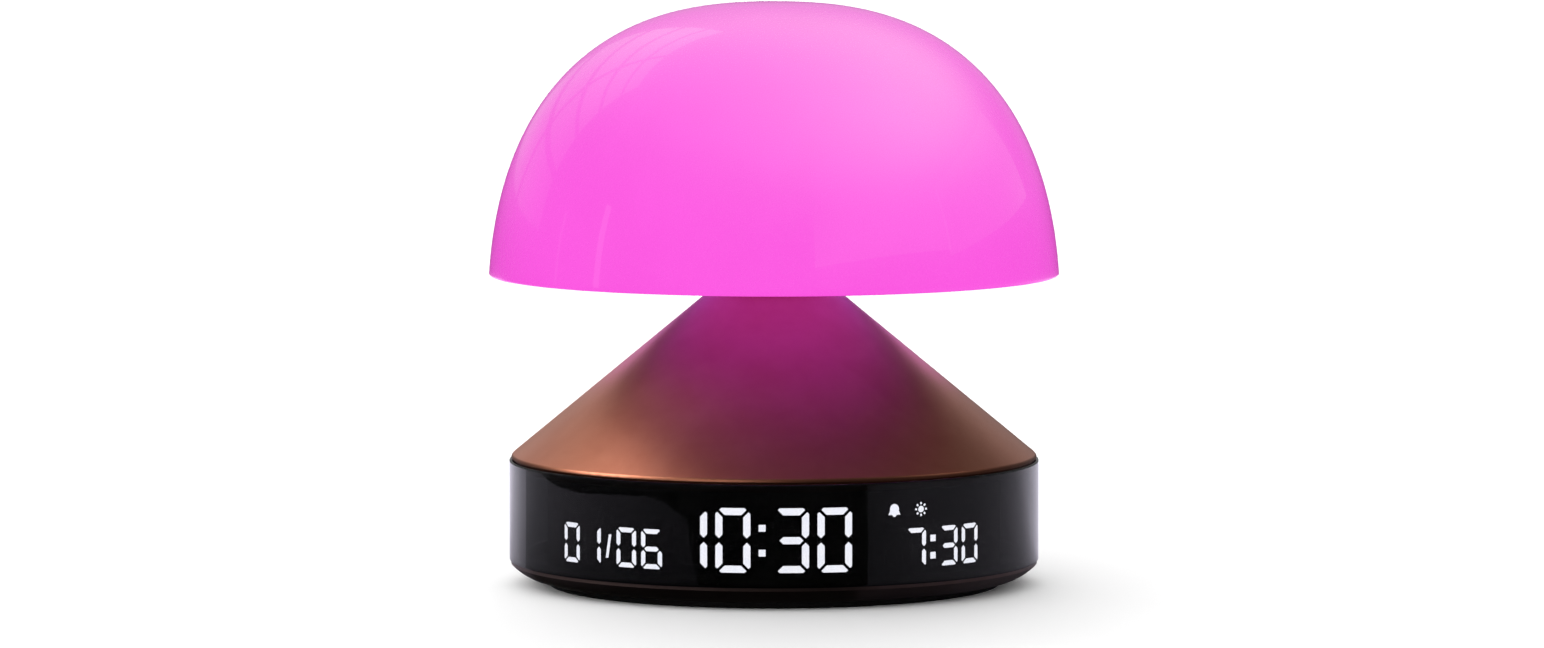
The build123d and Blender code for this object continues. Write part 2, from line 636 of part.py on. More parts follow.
# ---------------------------------------------------------------------------- copper cone
def cone_housing():
    """The copper cone: sloping shell, neck sleeve, window spigot and four long fixing posts."""
    rebate_radius = CONE_EDGE_RADIUS - SHADOW_GAP_DEPTH
    shell = spun(
        (NECK_RADIUS, NECK_TOP),
        (NECK_RADIUS, cone_outer_height(NECK_RADIUS)),
        (CONE_EDGE_RADIUS, CONE_SLOPE_START),
        (CONE_EDGE_RADIUS, CONE_BOTTOM),
        (rebate_radius, CONE_BOTTOM),
        (rebate_radius, WINDOW_TOP),
        (SPIGOT_RADIUS, WINDOW_TOP),
        (SPIGOT_RADIUS, WINDOW_TOP - SPIGOT_HEIGHT),
        (SPIGOT_BORE, WINDOW_TOP - SPIGOT_HEIGHT),
        (SPIGOT_BORE, cone_inner_height(SPIGOT_BORE)),
        (NECK_RADIUS, cone_inner_height(NECK_RADIUS)),
        (NECK_RADIUS, SLEEVE_BOTTOM),
        (NECK_BORE, SLEEVE_BOTTOM),
        (NECK_BORE, NECK_TOP),
    )
    edge = [
        circle
        for circle in shell.edges().filter_by(GeomType.CIRCLE)
        if abs(circle.center().Z - CONE_SLOPE_START) < CONE_LIP_HEIGHT / 4
        and abs(circle.radius - CONE_EDGE_RADIUS) < CONE_LIP_HEIGHT / 4
    ]
    shell = fillet(edge, CONE_EDGE_ROUND)
    half_drop = CONE_INNER_DROP / 2
    under_slope = spun(
        (0, CASE_SPLIT_HEIGHT),
        (0, cone_outer_height(0) - half_drop),
        (SPIGOT_BORE, cone_outer_height(SPIGOT_BORE) - half_drop),
        (SPIGOT_BORE, CASE_SPLIT_HEIGHT),
    )
    pilot_top = CASE_SPLIT_HEIGHT + CASE_SCREW_BITE
    for at in case_boss_places():
        post = disc(CASE_BOSS_RADIUS, CASE_SPLIT_HEIGHT, cone_outer_height(0), at) & under_slope
        shell += post
        shell -= disc(LARGE_SHANK_RADIUS + SNUG_CLEARANCE, CASE_SPLIT_HEIGHT, pilot_top, at)
    return shell


def case_boss_places():
    """Where the posts of base and cone meet."""
    return spread(CASE_BOSS_COUNT, CASE_BOSS_CIRCLE, 180 / CASE_BOSS_COUNT)


# ---------------------------------------------------------------------------- drum
def display_window():
    """The smoked band around the drum, open at the rear for the control panel."""
    band = spun(
        (WINDOW_BORE, WINDOW_BOTTOM),
        (WINDOW_RADIUS - WINDOW_BEVEL, WINDOW_BOTTOM),
        (WINDOW_RADIUS, WINDOW_BOTTOM + WINDOW_BEVEL),
        (WINDOW_RADIUS, WINDOW_TOP - WINDOW_BEVEL),
        (WINDOW_RADIUS - WINDOW_BEVEL, WINDOW_TOP),
        (WINDOW_BORE, WINDOW_TOP),
    )
    return band - wedge(180, PANEL_HALF_ANGLE, WINDOW_RADIUS, WINDOW_BOTTOM, WINDOW_TOP)


def base_shell():
    """The bronze tray: floor with grille, rounded bevel, window spigot and all its bosses."""
    bevel_top = FLOOR_UNDERSIDE + BASE_BEVEL_HEIGHT
    slant = math.hypot(BASE_BEVEL_RUN, BASE_BEVEL_HEIGHT)
    middle = (
        (BASE_FLOOR_RADIUS + BASE_LIP_RADIUS) / 2 + BASE_BEVEL_BULGE * BASE_BEVEL_HEIGHT / slant,
        FLOOR_UNDERSIDE + BASE_BEVEL_HEIGHT / 2 - BASE_BEVEL_BULGE * BASE_BEVEL_RUN / slant,
    )
    bevel = ThreePointArc(
        (BASE_FLOOR_RADIUS, 0, FLOOR_UNDERSIDE),
        (middle[0], 0, middle[1]),
        (BASE_LIP_RADIUS, 0, bevel_top),
    )
    inner_step = FLOOR_TOP + BASE_BEVEL_HEIGHT - BASE_FLOOR_WALL
    rest = Polyline(
        (BASE_LIP_RADIUS, 0, bevel_top),
        (BASE_LIP_RADIUS, 0, WINDOW_BOTTOM),
        (SPIGOT_RADIUS, 0, WINDOW_BOTTOM),
        (SPIGOT_RADIUS, 0, MASK_BOTTOM),
        (SPIGOT_BORE, 0, MASK_BOTTOM),
        (SPIGOT_BORE, 0, inner_step),
        (BASE_FLOOR_RADIUS - BASE_FLOOR_WALL, 0, FLOOR_TOP),
        (0, 0, FLOOR_TOP),
        (0, 0, FLOOR_UNDERSIDE),
        (BASE_FLOOR_RADIUS, 0, FLOOR_UNDERSIDE),
    )
    shell = revolve(make_face([bevel, rest]), Axis.Z)
    seat_inner = FOOT_BORE - FOOT_SEAT_CLEARANCE
    seat_outer = FOOT_RADIUS + FOOT_SEAT_CLEARANCE
    shell -= ring(seat_inner, seat_outer, FLOOR_UNDERSIDE, FLOOR_UNDERSIDE + FOOT_SEAT_DEPTH)
    shell += base_bosses()
    for hole in base_holes():
        shell -= hole
    for at in grille_places():
        shell -= disc(GRILLE_HOLE_RADIUS, FLOOR_UNDERSIDE, FLOOR_TOP, at)
    return shell


def base_bosses():
    """Posts and ribs on the floor: case posts, board standoffs, speaker and inlet seats."""
    bosses = Part()
    for at in case_boss_places():
        bosses += disc(CASE_BOSS_RADIUS, FLOOR_TOP, CASE_SPLIT_HEIGHT, at)
    for at in spread(STANDOFF_COUNT, STANDOFF_CIRCLE):
        bosses += disc(STANDOFF_RADIUS, FLOOR_TOP, MAIN_BOARD_HEIGHT, at)
    for side in (-1, 1):
        at = (side * INLET_BOSS_SPREAD, INLET_BOSS_DEPTH)
        bosses += disc(INLET_BOSS_RADIUS, FLOOR_TOP, INLET_BOARD_HEIGHT, at)
    rib_outer = SPEAKER_RIB_BORE + SPEAKER_RIB_WALL
    bosses += ring(SPEAKER_RIB_BORE, rib_outer, FLOOR_TOP, SPEAKER_FLANGE_TOP)
    for at in speaker_screw_places():
        boss = disc(SMALL_HEAD_RADIUS + SMALL_SHANK_RADIUS, FLOOR_TOP, SPEAKER_FLANGE_TOP, at)
        bosses += boss - disc(SPEAKER_RIB_BORE, FLOOR_TOP, SPEAKER_FLANGE_TOP)
    return bosses


def base_holes():
    """Screw holes in the floor's bosses."""
    holes = []
    pilot = SMALL_SHANK_RADIUS + SNUG_CLEARANCE
    for at in case_boss_places():
        seat = FLOOR_UNDERSIDE + CASE_SCREW_SEAT
        holes.append(disc(LARGE_HEAD_RADIUS + HOLE_CLEARANCE, FLOOR_UNDERSIDE, seat, at))
        holes.append(disc(LARGE_SHANK_RADIUS + HOLE_CLEARANCE, seat, CASE_SPLIT_HEIGHT, at))
    for at in spread(STANDOFF_COUNT, STANDOFF_CIRCLE):
        holes.append(disc(pilot, MAIN_BOARD_HEIGHT - SMALL_SCREW_BITE, MAIN_BOARD_HEIGHT, at))
    for side in (-1, 1):
        at = (side * INLET_BOSS_SPREAD, INLET_BOSS_DEPTH)
        holes.append(disc(pilot, INLET_BOARD_HEIGHT - SMALL_SCREW_BITE, INLET_BOARD_HEIGHT, at))
    for at in speaker_screw_places():
        holes.append(disc(pilot, FLOOR_TOP, SPEAKER_FLANGE_TOP, at))
    return holes


def grille_places():
    """Sound holes in rings under the speaker."""
    places = [(0, 0)]
    for row in range(1, GRILLE_RINGS + 1):
        places += spread(6 * row, row * GRILLE_PITCH)
    return places


def foot_ring():
    """The rubber foot, glued in a shallow groove under the floor."""
    top = FLOOR_UNDERSIDE + FOOT_SEAT_DEPTH
    return spun(
        (FOOT_BORE + FOOT_EDGE_ROUND, 0),
        (FOOT_RADIUS - FOOT_EDGE_ROUND, 0),
        (FOOT_RADIUS, FOOT_EDGE_ROUND),
        (FOOT_RADIUS, top),
        (FOOT_BORE, top),
        (FOOT_BORE, FOOT_EDGE_ROUND),
    )


def case_screws():
    """The four long screws that close the drum from below."""
    seat = FLOOR_UNDERSIDE + CASE_SCREW_SEAT
    length = CASE_SPLIT_HEIGHT + CASE_SCREW_BITE - seat
    sizes = (LARGE_SHANK_RADIUS, LARGE_HEAD_RADIUS, LARGE_HEAD_HEIGHT)
    return group([screw(at, seat, length, *sizes, direction=-1) for at in case_boss_places()])


# ---------------------------------------------------------------------------- display
LARGE_DIGIT = (
    LARGE_DIGIT_WIDTH,
    LARGE_DIGIT_HEIGHT,
    LARGE_DIGIT_STROKE,
    LARGE_DIGIT_MITRE,
    LARGE_DIGIT_CUT,
)
SMALL_DIGIT = (
    SMALL_DIGIT_WIDTH,
    SMALL_DIGIT_HEIGHT,
    SMALL_DIGIT_STROKE,
    SMALL_DIGIT_MITRE,
    SMALL_DIGIT_CUT,
)
DIGIT_BARS = {
    " ": "",
    "0": "abcdef",
    "1": "bc",
    "3": "abcdg",
    "6": "acdefg",
    "7": "abc",
}
SIGN_ROWS = (
    ("time", LARGE_DIGIT, "1030", TIME_ANGLE, TIME_INNER_ANGLE, TIME_STEP_ANGLE, LARGE_DIGIT_MIDDLE),
    ("date", SMALL_DIGIT, "0106", DATE_ANGLE, DATE_INNER_ANGLE, SMALL_STEP_ANGLE, SMALL_DIGIT_MIDDLE),
    ("alarm", SMALL_DIGIT, " 730", ALARM_ANGLE, ALARM_INNER_ANGLE, SMALL_STEP_ANGLE, SMALL_DIGIT_MIDDLE),
)


def segment_outlines(digit):
    """Outlines of the seven bars of a digit, by letter, about the digit's middle."""
    width, height, stroke, gap, cut = digit
    side = width / 2
    top = height / 2
    near = (cut + gap) / 2
    far = (cut - gap) / 2
    upper = [
        (-side + cut, top),
        (side - cut, top),
        (side - near, top - far),
        (side - stroke - gap, top - stroke),
        (-side + stroke + gap, top - stroke),
        (-side + near, top - far),
    ]
    right = [
        (side - far, top - near),
        (side, top - cut),
        (side, gap + stroke / 2),
        (side - stroke / 2, gap),
        (side - stroke, gap + stroke / 2),
        (side - stroke, top - stroke - gap),
    ]
    tip = side - stroke / 2 - gap
    shoulder = tip - stroke / 2
    middle = [
        (-tip, 0),
        (-shoulder, stroke / 2),
        (shoulder, stroke / 2),
        (tip, 0),
        (shoulder, -stroke / 2),
        (-shoulder, -stroke / 2),
    ]
    return {
        "a": upper,
        "b": right,
        "c": [(x, -y) for x, y in right],
        "d": [(x, -y) for x, y in upper],
        "e": [(-x, -y) for x, y in right],
        "f": [(-x, y) for x, y in right],
        "g": middle,
    }


def display_plane(angle, height):
    """The plane at the back of the display's wells at an angle, facing outwards."""
    x, y = around(DISPLAY_RADIUS - MASK_DEPTH, angle)
    turn = math.radians(angle)
    across = (math.cos(turn), math.sin(turn), 0)
    out = (math.sin(turn), -math.cos(turn), 0)
    return Plane(origin=(x, y, height), x_dir=across, z_dir=out)


def signs():
    """Bars, colons and slash of the three digit rows: (owner, angle, height, outline)."""
    found = []
    for name, digit, text, angle, inner, step, height in SIGN_ROWS:
        outlines = segment_outlines(digit)
        offsets = (-inner - step, -inner, inner, inner + step)
        for letter, offset in zip(text, offsets):
            for bar, outline in outlines.items():
                owner = name if bar in DIGIT_BARS[letter] else "dark"
                found.append((owner, angle + offset, height, Polygon(*outline, align=None)))
    for sign in (-1, 1):
        dot = Rectangle(TIME_COLON_SIDE, TIME_COLON_SIDE)
        found.append(("time", TIME_ANGLE, LARGE_DIGIT_MIDDLE + sign * TIME_COLON_RISE, dot))
        dot = Rectangle(ALARM_COLON_SIDE, ALARM_COLON_SIDE)
        found.append(("alarm", ALARM_ANGLE, SMALL_DIGIT_MIDDLE + sign * ALARM_COLON_RISE, dot))
    found.append(("date", DATE_ANGLE, SMALL_DIGIT_MIDDLE, slash_outline()))
    return found


def slash_outline():
    """The leaning stroke between day and month."""
    low = -SLASH_HEIGHT / 2
    left = -(SLASH_STROKE + SLASH_LEAN) / 2
    return Polygon(
        (left, low),
        (left + SLASH_STROKE, low),
        (left + SLASH_STROKE + SLASH_LEAN, low + SLASH_HEIGHT),
        (left + SLASH_LEAN, low + SLASH_HEIGHT),
        align=None,
    )


def bell_outline():
    """A small bell: round crown, flared mouth and a clapper."""
    mouth = -BELL_MOUTH_DROP
    waist = BELL_WAIST_HALF_WIDTH
    crown = ThreePointArc((-waist, 0), (0, BELL_RISE), (waist, 0))
    skirt = Polyline((waist, 0), (BELL_HALF_WIDTH, mouth), (-BELL_HALF_WIDTH, mouth), (-waist, 0))
    clapper = Pos(0, mouth) * Circle(BELL_CLAPPER_RADIUS)
    return make_face([crown, skirt]) + clapper


def sun_outline():
    """A small sun: a round core and short rays."""
    ray = Pos(SUN_RAY_CIRCLE, 0) * Rectangle(SUN_RAY_LENGTH, SUN_RAY_WIDTH)
    rays = [Rot(0, 0, 360 * index / SUN_RAY_COUNT) * ray for index in range(SUN_RAY_COUNT)]
    return [Circle(SUN_CORE_RADIUS)] + rays


def well(angle, height, outline, back=0.0):
    """A sign's outline carried outwards through the display, from a little behind it if asked."""
    plane = display_plane(angle, height).offset(-back)
    return extrude(plane * outline, MASK_DEPTH * 2, dir=plane.z_dir)


def inserts(outlines):
    """Light inserts: sign outlines carried out to the display's curved face."""
    shell = ring(DISPLAY_RADIUS - INSERT_DEPTH, DISPLAY_RADIUS, MASK_BOTTOM, MASK_TOP)
    return [well(angle, height, outline) & shell for angle, height, outline in outlines]


def insert_node(name):
    """All light inserts of one owner."""
    owned = [sign[1:] for sign in signs() if sign[0] == name]
    return group(inserts(owned))


def icon_node(angle, outlines):
    """The light inserts of one icon."""
    return group(inserts([(angle, ICON_HEIGHT, outline) for outline in outlines]))


def all_outlines():
    """Every insert's angle, height and outline, for the wells behind them."""
    outlines = [sign[1:] for sign in signs()]
    outlines.append((BELL_ANGLE, ICON_HEIGHT, bell_outline()))
    outlines += [(SUN_ANGLE, ICON_HEIGHT, outline) for outline in sun_outline()]
    return outlines


def display_mask():
    """The curved black block that holds the inserts, with a light well behind each."""
    mask = ring(DISPLAY_RADIUS - MASK_DEPTH, DISPLAY_RADIUS, MASK_BOTTOM, MASK_TOP)
    mask &= wedge(0, MASK_HALF_ANGLE, WINDOW_RADIUS, MASK_BOTTOM, MASK_TOP)
    wells = [
        well(angle, height, offset(outline, INSERT_CLEARANCE), DISPLAY_BOARD_WALL)
        for angle, height, outline in all_outlines()
    ]
    return mask - wells


def display_board():
    """The curved display board behind the mask."""
    back = DISPLAY_RADIUS - MASK_DEPTH
    low = MASK_BOTTOM + DISPLAY_BOARD_MARGIN
    high = MASK_TOP - DISPLAY_BOARD_MARGIN
    board = ring(back - DISPLAY_BOARD_WALL, back, low, high)
    return board & wedge(0, MASK_HALF_ANGLE, WINDOW_RADIUS, low, high)


def display_chips():
    """One small light chip on the board behind each sign."""
    back = DISPLAY_RADIUS - MASK_DEPTH
    low = MASK_BOTTOM + DISPLAY_BOARD_MARGIN
    shell = ring(back, back + CHIP_DEPTH, low, MASK_TOP)
    pieces = []
    for angle, height, outline in all_outlines():
        middle = outline.center()
        chip = Pos(middle.X, middle.Y) * Rectangle(CHIP_SIDE, CHIP_SIDE)
        pieces.append(well(angle, height, chip, DISPLAY_BOARD_WALL) & shell)
    return group(pieces)


def display_ribbon():
    """The flat lead from the display board to the main board's front connector."""
    reach = DISPLAY_RADIUS - MASK_DEPTH - DISPLAY_BOARD_WALL
    return ribbon(-1, reach) & disc(reach, MAIN_BOARD_TOP, MASK_TOP)


def button_ribbon():
    """The flat lead from the button board to the main board's rear connector."""
    return ribbon(1, BUTTON_BOARD_DEPTH)


def ribbon_start():
    """How far from the middle the flat leads lie over their connectors."""
    return STANDOFF_CIRCLE + STANDOFF_RADIUS - RIBBON_CONNECTOR_DEPTH / 2


def ribbon(side, reach):
    """A flat lead that runs out from a connector beside a screw."""
    level = MAIN_BOARD_TOP + RIBBON_CONNECTOR_HEIGHT
    start = ribbon_start() - RIBBON_CONNECTOR_DEPTH / 2
    middle = side * (start + reach) / 2
    at = (-RIBBON_WIDTH, middle)
    return block(RIBBON_WIDTH, reach - start, level, level + RIBBON_WALL, at)


# ---------------------------------------------------------------------------- rear panel
def button_places():
    """The x of each rear button."""
    middle = (len(BUTTON_NAMES) - 1) / 2
    return [(index - middle) * BUTTON_PITCH for index in range(len(BUTTON_NAMES))]


def panel_depth(x):
    """The y of the panel's inner face at an x."""
    return math.sqrt(WINDOW_BORE**2 - x**2)


def rear_panel():
    """The matt control panel in the window's rear opening."""
    body = ring(WINDOW_BORE, WINDOW_RADIUS, WINDOW_BOTTOM, WINDOW_TOP)
    gap_angle = math.degrees(PANEL_GAP / WINDOW_RADIUS)
    panel = body & wedge(180, PANEL_HALF_ANGLE - gap_angle, WINDOW_RADIUS, WINDOW_BOTTOM, WINDOW_TOP)
    inside = disc((WINDOW_BORE + WINDOW_RADIUS) / 2, WINDOW_BOTTOM, WINDOW_TOP)
    for side in (-1, 1):
        at = (side * PANEL_BOSS_SPREAD, PANEL_BOSS_HEIGHT)
        panel += rod_back(PANEL_BOSS_RADIUS, BUTTON_BOARD_BACK, WINDOW_RADIUS, at) & inside
        pilot = SMALL_SHANK_RADIUS + SNUG_CLEARANCE
        panel -= rod_back(pilot, BUTTON_BOARD_BACK, BUTTON_BOARD_BACK + SMALL_SCREW_BITE, at)
    for x in button_places():
        hole = BUTTON_RADIUS + BUTTON_CLEARANCE
        panel -= rod_back(hole, BUTTON_BOARD_BACK, WINDOW_RADIUS, (x, BUTTON_HEIGHT))
    width = SOCKET_WIDTH + 2 * PANEL_GAP
    thick = SOCKET_THICK + 2 * PANEL_GAP
    return panel - round_slot(width, thick, BUTTON_BOARD_BACK, WINDOW_RADIUS, SOCKET_HEIGHT)


def button(x):
    """A push-button: curved cap, retaining flange and a stem that reaches its switch."""
    flange_radius = BUTTON_RADIUS + BUTTON_FLANGE_WIDTH
    flange_back = panel_depth(abs(x) + flange_radius) - STOP_GAP
    tip = BUTTON_SWITCH_TOP + SWITCH_GAP + BUTTON_TRAVEL
    at = (x, BUTTON_HEIGHT)
    reach = WINDOW_RADIUS + BUTTON_PROUD
    cap = rod_back(BUTTON_RADIUS, flange_back, reach, at) & disc(reach, WINDOW_BOTTOM, WINDOW_TOP)
    flange = rod_back(flange_radius, flange_back - BUTTON_FLANGE_WALL, flange_back, at)
    stem = rod_back(BUTTON_STEM_RADIUS, tip, flange_back, at)
    return cap + flange + stem


def button_board():
    """The upright board behind the buttons, notched over the inlet."""
    height = BUTTON_BOARD_TOP - BUTTON_BOARD_BOTTOM
    middle = (BUTTON_BOARD_TOP + BUTTON_BOARD_BOTTOM) / 2
    board = Pos(0, BUTTON_BOARD_DEPTH + BOARD_WALL / 2, middle) * Box(
        2 * BUTTON_BOARD_HALF_WIDTH, BOARD_WALL, height
    )
    notch_top = SOCKET_HEIGHT + SOCKET_THICK / 2 + INLET_NOTCH_MARGIN
    notch_width = 2 * (INLET_BOARD_HALF_WIDTH + INLET_NOTCH_MARGIN)
    board -= block(notch_width, 4 * BOARD_WALL, 0, notch_top, (0, BUTTON_BOARD_DEPTH))
    for side in (-1, 1):
        hole = SMALL_SHANK_RADIUS + HOLE_CLEARANCE
        at = (side * PANEL_BOSS_SPREAD, PANEL_BOSS_HEIGHT)
        board -= rod_back(hole, BUTTON_BOARD_DEPTH, BUTTON_BOARD_BACK, at)
    return board


def button_switches():
    """One tact switch behind each button, drawn with its plunger pressed in."""
    pieces = []
    for x in button_places():
        middle = BUTTON_BOARD_BACK + SWITCH_BODY / 2
        body = Pos(x, middle, BUTTON_HEIGHT) * Box(SWITCH_SIDE, SWITCH_BODY, SWITCH_SIDE)
        cap = rod_back(SWITCH_CAP_RADIUS, BUTTON_BOARD_BACK, BUTTON_SWITCH_TOP, (x, BUTTON_HEIGHT))
        pieces.append(body + cap)
    return group(pieces)


def panel_screws():
    """Two screws that hold the button board on the panel's bosses."""
    pieces = []
    for side in (-1, 1):
        at = (side * PANEL_BOSS_SPREAD, PANEL_BOSS_HEIGHT)
        tail = BUTTON_BOARD_BACK + SMALL_SCREW_BITE
        shank = rod_back(SMALL_SHANK_RADIUS, BUTTON_BOARD_DEPTH, tail, at)
        front = BUTTON_BOARD_DEPTH - SMALL_HEAD_HEIGHT
        pieces.append(shank + rod_back(SMALL_HEAD_RADIUS, front, BUTTON_BOARD_DEPTH, at))
    return group(pieces)


# ---------------------------------------------------------------------------- power inlet
def inlet_board():
    """The small flat board that carries the power socket."""
    depth = INLET_BOARD_BACK - INLET_BOARD_FRONT
    middle = (INLET_BOARD_BACK + INLET_BOARD_FRONT) / 2
    board = block(2 * INLET_BOARD_HALF_WIDTH, depth, INLET_BOARD_HEIGHT, INLET_BOARD_TOP, (0, middle))
    for side in (-1, 1):
        at = (side * INLET_BOSS_SPREAD, INLET_BOSS_DEPTH)
        board -= disc(SMALL_SHANK_RADIUS + HOLE_CLEARANCE, INLET_BOARD_HEIGHT, INLET_BOARD_TOP, at)
    return board


def usb_socket():
    """The power socket: a thin flat-oval shell with a contact tongue."""
    back = SOCKET_MOUTH - SOCKET_LENGTH
    shell = round_slot(SOCKET_WIDTH, SOCKET_THICK, back, SOCKET_MOUTH, SOCKET_HEIGHT)
    inner_width = SOCKET_WIDTH - 2 * SOCKET_WALL
    inner_thick = SOCKET_THICK - 2 * SOCKET_WALL
    cavity = round_slot(inner_width, inner_thick, back + SOCKET_BACK_WALL, SOCKET_MOUTH, SOCKET_HEIGHT)
    tongue_middle = back + TONGUE_LENGTH / 2
    tongue = Pos(0, tongue_middle, SOCKET_HEIGHT) * Box(TONGUE_WIDTH, TONGUE_LENGTH, TONGUE_THICK)
    return shell - cavity + tongue


def inlet_screws():
    """Two screws that hold the inlet board."""
    places = [(side * INLET_BOSS_SPREAD, INLET_BOSS_DEPTH) for side in (-1, 1)]
    length = BOARD_WALL + SMALL_SCREW_BITE
    sizes = (SMALL_SHANK_RADIUS, SMALL_HEAD_RADIUS, SMALL_HEAD_HEIGHT)
    return group([screw(at, INLET_BOARD_TOP, length, *sizes) for at in places])


# ---------------------------------------------------------------------------- main board
def main_board():
    """The round main board on its four standoffs."""
    board = disc(MAIN_BOARD_RADIUS, MAIN_BOARD_HEIGHT, MAIN_BOARD_TOP)
    for at in spread(STANDOFF_COUNT, STANDOFF_CIRCLE):
        board -= disc(SMALL_SHANK_RADIUS + HOLE_CLEARANCE, MAIN_BOARD_HEIGHT, MAIN_BOARD_TOP, at)
    return board


def board_screws():
    """The main board's screws."""
    length = BOARD_WALL + SMALL_SCREW_BITE
    sizes = (SMALL_SHANK_RADIUS, SMALL_HEAD_RADIUS, SMALL_HEAD_HEIGHT)
    places = spread(STANDOFF_COUNT, STANDOFF_CIRCLE)
    return group([screw(at, MAIN_BOARD_TOP, length, *sizes) for at in places])


def head_switches():
    """Three tact switches under the stem's end, drawn with their plungers pressed in."""
    pieces = []
    for at in spread(HEAD_SWITCH_COUNT, HEAD_SWITCH_CIRCLE, 180 / HEAD_SWITCH_COUNT):
        body_top = MAIN_BOARD_TOP + HEAD_SWITCH_BODY
        body = block(SWITCH_SIDE, SWITCH_SIDE, MAIN_BOARD_TOP, body_top, at)
        pieces.append(body + disc(SWITCH_CAP_RADIUS, MAIN_BOARD_TOP, HEAD_SWITCH_TOP, at))
    return group(pieces)


def board_parts():
    """The main board's tall parts: processor, radio module, capacitors and connectors."""
    low = MAIN_BOARD_TOP
    chips = (
        (MODULE_WIDTH, MODULE_DEPTH, MODULE_HEIGHT, MODULE_ANGLE),
        (PROCESSOR_SIDE, PROCESSOR_SIDE, PROCESSOR_HEIGHT, PROCESSOR_ANGLE),
    )
    pieces = [block(PLUG_SIDE, PLUG_SIDE, low, low + PLUG_HEIGHT)]
    for width, depth, height, angle in chips:
        pieces.append(block(width, depth, low, low + height, around(PART_CIRCLE, angle), angle))
    for side in (-1, 1):
        at = beside(PART_CIRCLE, CAPACITOR_ANGLE, side * (CAPACITOR_RADIUS + CAPACITOR_GAP / 2))
        pieces.append(disc(CAPACITOR_RADIUS, low, low + CAPACITOR_HEIGHT, at))
    for side in (-1, 1):
        at = (-RIBBON_WIDTH, side * ribbon_start())
        top = low + RIBBON_CONNECTOR_HEIGHT
        pieces.append(block(RIBBON_WIDTH, RIBBON_CONNECTOR_DEPTH, low, top, at))
    return group(pieces)


def cell_holder():
    """The round tray of the backup cell."""
    at = around(CELL_CIRCLE, CELL_ANGLE)
    floor_top = MAIN_BOARD_TOP + HOLDER_FLOOR
    tray = disc(HOLDER_RADIUS, MAIN_BOARD_TOP, floor_top + CELL_WALL, at)
    return tray - disc(CELL_RADIUS + HOLE_CLEARANCE, floor_top, floor_top + CELL_WALL, at)


def backup_cell():
    """The coin cell that keeps the time when the power is off."""
    floor_top = MAIN_BOARD_TOP + HOLDER_FLOOR
    return disc(CELL_RADIUS, floor_top, floor_top + CELL_WALL, around(CELL_CIRCLE, CELL_ANGLE))


def power_lead():
    """The lead from the inlet board's edge to the underside of the main board."""
    level = INLET_BOARD_HEIGHT + BOARD_WALL / 2
    path = FilletPolyline(
        (LEAD_SIDE, INLET_BOARD_FRONT, level),
        (LEAD_SIDE, LEAD_RISE_DEPTH, level),
        (LEAD_SIDE, LEAD_RISE_DEPTH, MAIN_BOARD_HEIGHT),
        radius=LEAD_BEND_RADIUS,
    )
    start = Plane(origin=path @ 0, z_dir=path % 0)
    return sweep(start * Circle(LEAD_RADIUS), path=path)


def speaker_lead():
    """The speaker's lead, straight up from its flange to the main board."""
    at = (0, SPEAKER_RADIUS - LEAD_RADIUS - BASKET_WALL / 2)
    return disc(LEAD_RADIUS, SPEAKER_FLANGE_TOP, MAIN_BOARD_HEIGHT, at)


# ---------------------------------------------------------------------------- speaker
def speaker_screw_places():
    """Where washer-headed screws grip the speaker's flange."""
    return spread(SPEAKER_SCREW_COUNT, SPEAKER_SCREW_CIRCLE, SPEAKER_SCREW_ANGLE)


def speaker_gasket():
    """The foam ring under the speaker."""
    return ring(SPEAKER_RADIUS - SPEAKER_FLANGE_WIDTH, SPEAKER_RADIUS, FLOOR_TOP, SPEAKER_SEAT)


def speaker_frame():
    """The pressed basket: flange, sloping wall and magnet seat."""
    lip = SPEAKER_RADIUS - SPEAKER_FLANGE_WIDTH
    return spun(
        (lip, SPEAKER_SEAT),
        (SPEAKER_RADIUS, SPEAKER_SEAT),
        (SPEAKER_RADIUS, SPEAKER_FLANGE_TOP),
        (lip + 2 * BASKET_WALL, SPEAKER_FLANGE_TOP),
        (MAGNET_RADIUS, MAGNET_BOTTOM),
        (DUST_CAP_RADIUS, MAGNET_BOTTOM),
        (DUST_CAP_RADIUS, MAGNET_BOTTOM - BASKET_WALL),
        (MAGNET_RADIUS - BASKET_WALL, MAGNET_BOTTOM - BASKET_WALL),
        (lip, SPEAKER_FLANGE_TOP),
    )


def speaker_membrane():
    """The paper cone with its dust cap, glued under the basket's flange."""
    lip = SPEAKER_RADIUS - SPEAKER_FLANGE_WIDTH
    low = SPEAKER_SEAT
    return spun(
        (lip, low),
        (lip, low + MEMBRANE_WALL),
        (DUST_CAP_RADIUS, low + MEMBRANE_RISE + MEMBRANE_WALL),
        (0, low + MEMBRANE_RISE - MEMBRANE_WALL),
        (0, low + MEMBRANE_RISE - 2 * MEMBRANE_WALL),
        (DUST_CAP_RADIUS, low + MEMBRANE_RISE),
    )


def speaker_magnet():
    """The magnet on the back of the basket."""
    return disc(MAGNET_RADIUS, MAGNET_BOTTOM, MAGNET_BOTTOM + MAGNET_HEIGHT)


def speaker_screws():
    """Washer-headed screws that grip the speaker's flange."""
    length = SPEAKER_FLANGE_TOP - FLOOR_TOP
    sizes = (SMALL_SHANK_RADIUS, SPEAKER_SCREW_HEAD_RADIUS, SMALL_HEAD_HEIGHT)
    return group([screw(at, SPEAKER_FLANGE_TOP, length, *sizes) for at in speaker_screw_places()])


